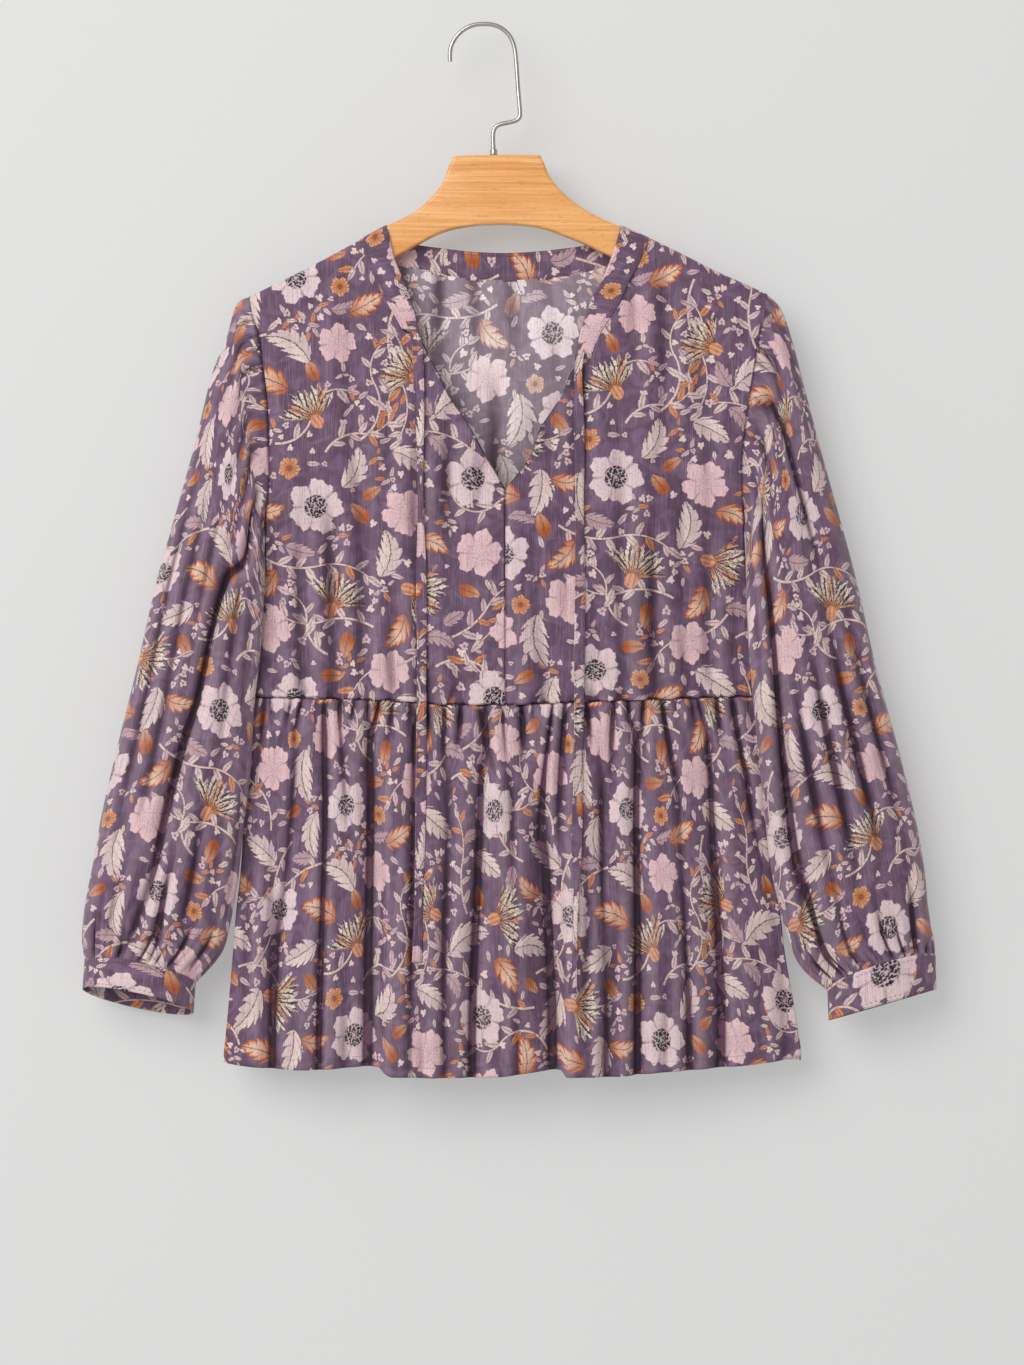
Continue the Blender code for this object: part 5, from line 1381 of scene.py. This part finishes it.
@dataclass
class Sleeve:
    """A long full sleeve, eased into the armhole and gathered into its cuff."""

    cloth: Cloth
    left: bool
    columns: int = 138
    step: float = 2.45
    fullness: float = 1.1        # how much wider the cut is than the sleeve as it hangs
    cut_length: float = 560.0
    trough_width: float = 0.07   # a trough's half width on its soft side, as a share of the way across
    deepest: float = 9.5         # the most that a trough sinks
    drape: float = 1.3           # how far the soft creases stand out, and as much more lower down
    head_depth: float = 2.4      # depth of the gathers at the armhole
    cuff_depth: float = 3.8      # the same at the cuff

    def _angles(self) -> np.ndarray:
        """Gives the angles round a ring that lie evenly along it, back first, from the underarm seam."""
        angle = math.pi + np.linspace(0, 2 * math.pi, 721)
        shape = np.stack([-np.cos(angle) * 60.0, np.sin(angle) * 17.0], axis=1)
        length = running_length(shape)
        return np.interp(np.linspace(0, length[-1], self.columns + 1)[:-1], length, angle)

    def _rings(self, angles: np.ndarray) -> np.ndarray:
        """Works out the armhole's ring and the named rings below it.

        Args:
            angles: The angles round a ring.

        Returns:
            The points, rings by angles by 3.
        """
        table = SLEEVE_LEFT if self.left else SLEEVE_RIGHT
        outward = -1 if self.left else 1
        across, swing = (1 - np.cos(angles)) / 2, np.sin(angles)
        tip = float((SIDE_LEFT if self.left else SIDE_RIGHT).rows[0, 0])
        drop = blend(tip, UNDERARM, across)
        x = Form.side_x(drop, self.left)
        depth = Form.half_depth(x, drop, []) * np.minimum(1.0, np.abs(swing) * 6)
        rings = [np.stack([x - outward * 0.8, -np.sign(swing) * (depth + 0.45), -drop], axis=1)]
        for row in table.rows:
            _, outer_x, outer_drop, inner_x, inner_drop, nose, deep, tilt = row
            y = -nose * across - deep * swing
            drop = blend(outer_drop, inner_drop, across) + tilt * (y + nose * across)
            rings.append(np.stack([blend(outer_x, inner_x, across), y, -drop], axis=1))
        return np.array(rings)

    def build(self) -> bpy.types.Object:
        """Builds the sleeve.

        Returns:
            The piece.
        """
        angles = self._angles()
        rings = self._rings(angles)
        middle = rings[:, [0, self.columns // 4, self.columns // 2]].mean(axis=1)
        line = flow_along(middle, np.linspace(0, LAST_RING, 400))
        stations = even_stations(line, self.step) * LAST_RING / (len(line) - 1)
        points = flow_along(rings, stations)
        ring = stations[:, None]
        across = ((1 - np.cos(angles)) / 2)[None, :]
        front = (np.sin(angles) > 0)[None, :]
        place = (np.arange(self.columns) / self.columns)[None, :]
        length = running_length(points.mean(axis=1))
        down = (length / length[-1] * self.cut_length)[:, None]
        upward = self.cut_length - down
        outward = -1 if self.left else 1
        normals = outward * Cloth.normals(points, True)
        troughs = [TROUGH_LEFT] if self.left else [TROUGH_RIGHT, TROUGH_UPPER]
        height = np.zeros(points.shape[:2])
        for table, side in [(table, front) for table in troughs] + [(TROUGH_BACK, ~front)]:
            away = across - table.at("across", ring)
            away = away / np.where(away < 0, self.trough_width, self.trough_width * 0.4)
            depth = table.at("depth", ring) * (1.9 + 0.9 * eased(ring, 6.0, 9.0))
            height = height - side * np.minimum(depth, self.deepest) * close_to(away, 1.0)
        seed = 41 if self.left else 42
        calm = eased(down, 0.0, 26.0) * eased(upward, 2.0, 40.0)
        wave = ripple(place * 300.0, down, 33.0, 520.0, seed)
        loose = self.drape + self.drape * eased(down, 200.0, 430.0)
        height = height + calm * wave * loose * eased(np.abs(np.sin(angles))[None, :], 0.0, 0.35)
        height = height - 2.2 * close_to(down, 5.0) * eased(across, 0.1, 0.35)
        head = gathers(place, down, 36, seed + 2, 24.0) * eased(0.45 - across, -0.1, 0.2)
        height = height - self.head_depth * head * eased(down, 0.0, 6.0)
        cuff = (gathers(place, upward, 30, seed + 3, 40.0)
                + 0.9 * gathers(place, upward, 14, seed + 4, 95.0, 0.11))
        height = height - cuff * self.cuff_depth * eased(upward, 0.0, 9.0)
        height = height - 0.4 * eased(12.0 - upward, 0.0, 12.0)
        girth = np.linalg.norm(np.diff(points, axis=1, append=points[:, :1]), axis=2).sum(axis=1)[:, None]
        lengths = np.linalg.norm(np.diff(points, axis=0), axis=2)[::-1].cumsum(axis=0)[::-1]
        lengths = np.concatenate([lengths, np.zeros((1, self.columns))])
        lengths = np.concatenate([lengths, lengths[:, :1]], axis=1)
        points = points + normals * height[..., None]
        turns = (np.arange(self.columns + 1) / self.columns - 0.5)[None, :]
        flat = np.stack([-outward * turns * girth * self.fullness, self.cut_length - lengths], axis=2)
        name = "sleeve_left" if self.left else "sleeve_right"
        return self.cloth.sheet(name, points, flat, outward, "gathered",
                                ["cloth_front_left" if self.left else "cloth_front_right", "cloth_back"],
                                wrap=True, start=(77.0, 40.0) if self.left else (215.0, 190.0),
                                seams=("top", "bottom"))


@dataclass
class Cuff:
    """A narrow plain cuff of doubled cloth."""

    cloth: Cloth
    left: bool
    columns: int = 120
    rows: int = 14
    cut_length: float = 25.0
    tuck: float = 0.08           # how far it reaches up into the sleeve, as a share of its length
    stitch_in: float = 3.0

    def build(self) -> bpy.types.Object:
        """Builds the cuff.

        Returns:
            The piece.
        """
        _, outer_x, outer_drop, inner_x, inner_drop, _, deep, tilt = (
            SLEEVE_LEFT if self.left else SLEEVE_RIGHT).rows[-1]
        bottom = CUFF_LEFT if self.left else CUFF_RIGHT
        bottom_tilt = CUFF_TILT if self.left else CUFF_TILT_RIGHT
        angle = np.linspace(0, 2 * math.pi, self.columns + 1)[None, :-1]
        share = np.linspace(-self.tuck, 1, self.rows + 1)[:, None]
        across, swing = (1 - np.cos(angle)) / 2, np.sin(angle)
        y = -(deep + 0.7) * swing
        outer = [blend(a, b, share) for a, b in zip((outer_x, outer_drop), bottom[0])]
        inner = [blend(a, b, share) for a, b in zip((inner_x, inner_drop), bottom[1])]
        x = blend(outer[0], inner[0], across)
        drop = blend(outer[1], inner[1], across) + blend(tilt, bottom_tilt, share) * y
        seed = 61 if self.left else 62
        place = np.arange(self.columns)[None, :] / self.columns
        down = share * self.cut_length
        pull = (0.35 - 0.8 * gathers(place, down, 30, seed, 12.0)
                + 0.35 * ripple(place * 200, down, 26, 60, seed))
        y = y * (1 + pull * 0.03)
        points = np.stack([x + 0 * y, y + 0 * x, -drop], axis=2)
        turns = np.arange(self.columns + 1) / self.columns * float(
            np.linalg.norm(np.diff(np.append(points[0], points[0, :1], axis=0), axis=0), axis=1).sum())
        flat = np.stack([turns[None, :] + 0 * share,
                         (share + self.tuck) * self.cut_length + 0 * turns[None, :]], axis=2)
        whole = self.cut_length * (1 + self.tuck)
        from_edge = np.minimum(flat[..., 1] - self.stitch_in, whole - self.stitch_in - flat[..., 1])
        name = "cuff_left" if self.left else "cuff_right"
        return self.cloth.sheet(name, points, flat, -1 if self.left else 1, "hung",
                                ["cloth_sleeve_left" if self.left else "cloth_sleeve_right"],
                                wrap=True, wall=1.0, from_edge=from_edge,
                                start=(33.0, 77.0) if self.left else (240.0, 20.0), doubled=True)


@dataclass
class Neckband:
    """The narrow band round the neck, from one front end over the shoulders to the other."""

    cloth: Cloth
    step: float = 2.2
    rows_across: int = 12
    proud: float = 0.45          # how far it lies over the wall under it
    stitch_in: float = 2.4
    free_left: float = -77.6     # x of the free edge on each shoulder
    free_right: float = 108.8

    def _stations(self) -> list[tuple[int, float, float, float, float]]:
        """Lists the band's cross-lines: which wall it is on, its seam's place and its free edge's."""
        found: list[tuple[int, float, float, float, float]] = []
        turns = [ARM_ROUND * (1 - math.cos(math.radians(a))) for a in (30, 60)]
        for seam_drop, free_x, free_drop in BAND_FRONT_LEFT.rows[::-1]:
            found.append((-1, float(NECK_LEFT.at("x", seam_drop)), seam_drop, free_x, free_drop))
        for neck_x, free_x, table, inward in ((NECK_POINT_LEFT, self.free_left, NECK_LEFT, 1),
                                              (NECK_POINT_RIGHT, self.free_right, NECK_RIGHT, -1)):
            before = [(-1, float(table.at("x", NECK_POINT_DROP + turn)), NECK_POINT_DROP + turn, free_x,
                       float(Form.shoulder_drop(free_x)) + turn) for turn in turns[::-1]]
            behind = [(1, neck_x, NECK_POINT_DROP, free_x, float(Form.shoulder_drop(free_x)))]
            for step, turn in zip((1.0, 2.0), turns):
                seam, free = neck_x + inward * step, free_x + inward * step / 2
                behind.append((1, seam, float(Form.shoulder_drop(seam)) + turn, free,
                               float(Form.shoulder_drop(free)) + turn))
            if inward > 0:
                found += before + behind + [(1, *row) for row in BAND_BACK.rows]
            else:
                found += (before + behind)[::-1]
        for seam_drop, free_x, free_drop in BAND_FRONT_RIGHT.rows:
            found.append((-1, float(NECK_RIGHT.at("x", seam_drop)), seam_drop, free_x, free_drop))
        return found

    def build(self) -> bpy.types.Object:
        """Builds the band.

        Returns:
            The piece.
        """
        lines = []
        across = np.linspace(-0.05, 1, self.rows_across + 1)
        for facing, seam_x, seam_drop, free_x, free_drop in self._stations():
            x, drop = blend(seam_x, free_x, across), blend(seam_drop, free_drop, across)
            depth = Form.half_depth(x, drop, BODICE_FOLDS_FRONT if facing < 0 else BODICE_FOLDS_BACK)
            reach = depth + self.proud * np.minimum(1, depth / 3)
            lines.append(np.stack([x, facing * reach, -drop], axis=1))
        lines = np.array(lines)
        stations = even_stations(lines[:, self.rows_across // 2], self.step)
        points = flow_along(lines, stations)
        length = running_length(points[:, self.rows_across // 2])
        width = float(np.linalg.norm(points[:, -1] - points[:, 0], axis=1).mean())
        flat = np.stack(np.broadcast_arrays(length[:, None], np.linspace(0, width, self.rows_across + 1)),
                        axis=2)
        outside = Cloth.normals(points, False)
        puff = np.sin(np.linspace(0, math.pi, self.rows_across + 1)) ** 0.7 * 0.5
        puff = puff[None, :] + 0.18 * ripple(flat[..., 0], flat[..., 1], 13.0, 60.0, 71)
        points = points + outside * puff[..., None]
        from_edge = np.minimum(flat[..., 1] - self.stitch_in, width - self.stitch_in - flat[..., 1])
        return self.cloth.sheet("neckband", points, flat, 1, "hung", ["hanger_body"], wall=1.1,
                                from_edge=from_edge, start=(10.0, 140.0), doubled=True)


@dataclass
class Tie:
    """One of the two flat ties, which turns a little as it hangs."""

    cloth: Cloth
    left: bool
    rows: int = 230
    clearance: float = 2.1       # how far its middle hangs off the form
    turning: tuple[tuple[float, float], ...] = ((0.62, 83.0), (0.45, 37.0))   # how much, over what length

    def build(self) -> bpy.types.Object:
        """Builds the tie.

        Returns:
            The piece.
        """
        table = TIE_LEFT if self.left else TIE_RIGHT
        drop = np.linspace(table.rows[0, 0], table.rows[-1, 0], self.rows)
        middle = table.at("x", drop)
        reach = np.full(self.rows, 0.0)
        for shift in (-TIE_WIDTH / 2, 0.0, TIE_WIDTH / 2):
            for lift in (-TIE_WIDTH, 0.0, TIE_WIDTH):
                x, level = middle + shift, drop + lift
                waist = WAIST.at("drop", x)
                upper = Form.half_depth(x, level, BODICE_FOLDS_FRONT)
                lower = (Form.half_depth(x, level, PEPLUM_FOLDS_FRONT)
                         + 1.8 * eased(80.0 - (level - waist), 0.0, 60.0))
                reach = np.maximum(reach, np.where(level < waist, upper, lower))
        spread = np.convolve(np.pad(reach, 6, mode="edge"), np.ones(13) / 13, mode="valid")
        reach = np.maximum(reach, spread)
        phase = 0.4 if self.left else 2.1
        turn = sum(amount * np.sin(drop / length + k * phase)
                   for k, (amount, length) in enumerate(self.turning, 1))
        across = np.linspace(-1, 1, 7)[None, :] * TIE_WIDTH / 2
        x = middle[:, None] + across * np.cos(turn)[:, None]
        lean = np.sin(turn)[:, None]
        y = -(reach + self.clearance)[:, None] - np.abs(lean) * 1.2 + across * lean * 0.45
        points = np.stack([x, y, np.broadcast_to(-drop[:, None], x.shape)], axis=2)
        flat = np.stack([across + 0 * drop[:, None] + TIE_WIDTH,
                         drop[:, None] - drop[0] + 0 * across], axis=2)
        from_edge = TIE_WIDTH / 2 - 1.3 - np.abs(np.broadcast_to(across, flat.shape[:2]))
        name = "tie_left" if self.left else "tie_right"
        return self.cloth.sheet(name, points, flat, -1, "hung", ["cloth_neckband"], wall=0.8,
                                from_edge=from_edge, start=(210.0, 5.0) if self.left else (95.0, 60.0),
                                doubled=True)


@dataclass
class Hanger:
    """The flat wooden hanger and its wire hook."""

    thickness: float = 2 * ARM_HALF
    rounding: float = 3.4
    wire: float = 3.6
    step: float = 3.0
    arm_left: float = -177.0
    arm_right: float = 209.0

    def _outline(self) -> list[tuple[float, float]]:
        """Gives the outline seen from the front, as x and drop, once round."""
        x = np.linspace(self.arm_left, self.arm_right, int((self.arm_right - self.arm_left) / self.step))
        inside = (x >= HANGER_TOP.rows[0, 0]) & (x <= HANGER_TOP.rows[-1, 0])
        top = np.where(inside, HANGER_TOP.at("drop", x), Form.shoulder_drop(x) + ARM_ROUND - ARM_HALF)
        bottom = HANGER_BOTTOM.at("drop", x)
        return list(zip(x, top)) + list(zip(x[::-1], bottom[::-1]))

    def body(self, material: bpy.types.Material) -> bpy.types.Object:
        """Builds the wooden body: its outline filled, pulled out to its thickness, with rounded edges.

        Args:
            material: The wood.

        Returns:
            The piece.
        """
        outline = self._outline()
        bpy.ops.object.select_all(action="DESELECT")
        bpy.ops.mesh.primitive_circle_add(vertices=len(outline), radius=0.1, fill_type="NGON")
        made = bpy.context.object
        for vertex, (x, drop) in zip(made.data.vertices, outline):
            vertex.co = (x * MM, -self.thickness / 2 * MM, -drop * MM)
        bpy.ops.object.mode_set(mode="EDIT")
        bpy.ops.mesh.select_all(action="SELECT")
        bpy.ops.mesh.extrude_region_move(TRANSFORM_OT_translate={"value": (0, self.thickness * MM, 0)})
        bpy.ops.mesh.select_all(action="SELECT")
        bpy.ops.mesh.normals_make_consistent(inside=False)
        bpy.ops.object.mode_set(mode="OBJECT")
        edge = made.modifiers.new("rounded", "BEVEL")
        edge.width = self.rounding * MM
        edge.segments = 5
        edge.limit_method = "ANGLE"
        edge.angle_limit = math.radians(60)
        bpy.ops.object.modifier_apply(modifier=edge.name)
        bpy.ops.object.shade_smooth_by_angle(angle=math.radians(40))
        return self._declare(made, "wooden_hanger", "hanger_body", "hanger_wood", material)

    def hook(self, material: bpy.types.Material) -> bpy.types.Object:
        """Builds the bent wire hook.

        Args:
            material: The plated steel.

        Returns:
            The piece.
        """
        bpy.ops.object.select_all(action="DESELECT")
        bpy.ops.curve.primitive_bezier_curve_add()
        made = bpy.context.object
        curve = made.data
        path = np.array(HOOK_PATH)
        fine = flow_along(np.column_stack([path, np.zeros(len(path))]), np.linspace(0, len(path) - 1, 150))
        curve.splines.clear()
        spline = curve.splines.new("POLY")
        spline.points.add(len(fine) - 1)
        for point, (x, drop, _) in zip(spline.points, fine):
            point.co = (x * MM, 0.0, -drop * MM, 1.0)
        curve.bevel_depth = self.wire / 2 * MM
        curve.bevel_resolution = 6
        curve.use_fill_caps = True
        bpy.ops.object.convert(target="MESH")
        bpy.ops.object.shade_smooth_by_angle(angle=math.radians(50))
        return self._declare(made, "wire_hook", "hanger_hook", "hook_steel", material)

    def ferrule(self, material: bpy.types.Material) -> bpy.types.Object:
        """Builds the small collar where the wire enters the wood.

        Args:
            material: The plated steel.

        Returns:
            The piece.
        """
        low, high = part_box("hanger_ferrule")
        bpy.ops.object.select_all(action="DESELECT")
        bpy.ops.mesh.primitive_cylinder_add(
            vertices=40, radius=(high[0] - low[0]) / 2, depth=high[2] - low[2],
            location=((low[0] + high[0]) / 2, 0.0, (low[2] + high[2]) / 2))
        made = bpy.context.object
        edge = made.modifiers.new("rounded", "BEVEL")
        edge.width = 0.7 * MM
        edge.segments = 4
        bpy.ops.object.modifier_apply(modifier=edge.name)
        bpy.ops.object.transform_apply(location=True, rotation=True, scale=True)
        bpy.ops.object.shade_smooth_by_angle(angle=math.radians(40))
        return self._declare(made, "hook_collar", "hanger_ferrule", "hook_steel", material)

    @staticmethod
    def _declare(made: bpy.types.Object, name: str, node: str, slot: str,
                 material: bpy.types.Material) -> bpy.types.Object:
        """Args:
            made: The piece.
            name: Its name.
            node: The CAD node that it replaces.
            slot: The slot of its material; not used.
            material: The material.

        Returns:
            The piece.
        """
        made.name = name
        made.data.materials.clear()
        made.data.materials.append(material)
        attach(made, "root")
        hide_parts(node)
        LOG.info("%s: %d faces", made.name, len(made.data.polygons))
        return made


@dataclass
class Studio:
    """The pale wall and floor, the soft light and the camera, as in the photograph."""

    camera_at: tuple[float, float, float] = (0.0224, -3.0, -0.525)
    lens: float = 98.9
    wall_y: float = 0.034
    key_at: tuple[float, float, float] = (-1.85, -3.1, 1.25)
    key_size: float = 2.9
    key_watts: float = 125.0
    key_colour: tuple[float, float, float] = (1.0, 0.988, 0.975)
    aimed_at: tuple[float, float, float] = (0.02, 0.0, -0.5)
    room: str = "#ECEBEA"
    room_strength: float = 0.59
    wall_glow: float = 0.3       # light that the white room behind the camera sends back from the wall
    floor_z: float = -1.6
    backdrop_size: float = 9.0

    def camera(self) -> None:
        """Sets up the camera, square on to the blouse."""
        data = bpy.data.cameras.new("photograph")
        data.lens = self.lens
        data.sensor_width = 36.0
        made = bpy.data.objects.new("photograph", data)
        made.location = self.camera_at
        made.rotation_euler = (math.radians(90), 0.0, 0.0)
        bpy.context.scene.collection.objects.link(made)
        bpy.context.scene.camera = made

    def _plaster(self) -> bpy.types.Material:
        """Makes the pale matt paint of the wall, which shows from its front only."""
        graph = Graph("pale_wall_paint")
        matt = graph.add("ShaderNodeBsdfPrincipled", None, {
            "Base Color": hex_to_linear("#A9A9A9"), "Roughness": 0.9, "Specular IOR Level": 0.15,
            "Emission Color": hex_to_linear("#FFFFFF"), "Emission Strength": self.wall_glow})
        clear = graph.add("ShaderNodeBsdfTransparent")
        behind = graph.add("ShaderNodeNewGeometry").outputs["Backfacing"]
        both = graph.add("ShaderNodeMixShader", None, {0: behind, 1: matt.outputs[0], 2: clear.outputs[0]})
        graph.add("ShaderNodeOutputMaterial", None, {"Surface": both.outputs[0]})
        graph.material.cycles.emission_sampling = "NONE"
        return graph.material

    def backdrop(self) -> None:
        """Puts up the wall and lays the floor."""
        plaster = self._plaster()
        half = self.backdrop_size / 2
        for name, place, turn in (("wall", (0.0, self.wall_y, self.floor_z + half), 90.0),
                                  ("floor", (0.0, self.wall_y - half, self.floor_z), 0.0)):
            bpy.ops.object.select_all(action="DESELECT")
            bpy.ops.mesh.primitive_plane_add(size=self.backdrop_size, location=place,
                                             rotation=(math.radians(turn), 0, 0))
            made = bpy.context.object
            made.name = name
            made.data.materials.append(plaster)

    def lights(self) -> None:
        """Puts the large soft light at the upper left and fills the room with pale light."""
        data = bpy.data.lights.new("window", "AREA")
        data.size = self.key_size
        data.energy = self.key_watts
        data.color = self.key_colour
        made = bpy.data.objects.new("window", data)
        made.location = self.key_at
        aim = np.array(self.aimed_at) - np.array(self.key_at)
        made.rotation_euler = (math.atan2(math.hypot(aim[0], aim[1]), -aim[2]), 0.0,
                               math.atan2(aim[1], aim[0]) - math.pi / 2)
        bpy.context.scene.collection.objects.link(made)
        world = bpy.data.worlds.new("room")
        bpy.context.scene.world = world
        world.use_nodes = True
        ground = world.node_tree.nodes["Background"]
        ground.inputs["Color"].default_value = hex_to_linear(self.room)
        ground.inputs["Strength"].default_value = self.room_strength
        bpy.context.scene.view_settings.view_transform = "Standard"


def main() -> None:
    """Builds the studio, the hanger and the blouse, piece by piece."""
    logging.basicConfig(level=logging.INFO, format="%(name)s: %(message)s")
    studio = Studio()
    studio.camera()
    studio.backdrop()
    studio.lights()
    hanger = Hanger()
    steel = NickelPlatedWire().build()
    hanger.body(VarnishedBeech().build())
    hanger.hook(steel)
    hanger.ferrule(steel)
    cloth = Cloth(PrintedChiffon().build(), PrintRepeat())
    bodice = Bodice(cloth)
    for left in (True, False):
        bodice.front(left)
    bodice.back()
    peplum = Peplum(cloth)
    peplum.build(-1, 33, PEPLUM_FOLDS_FRONT, PEPLUM_CREASES_FRONT, 31)
    peplum.build(1, 30, PEPLUM_FOLDS_BACK, PEPLUM_CREASES_BACK, 35)
    for left in (True, False):
        Sleeve(cloth, left).build()
        Cuff(cloth, left).build()
    Neckband(cloth).build()
    for left in (True, False):
        Tie(cloth, left).build()


if __name__ == "__main__":
    main()
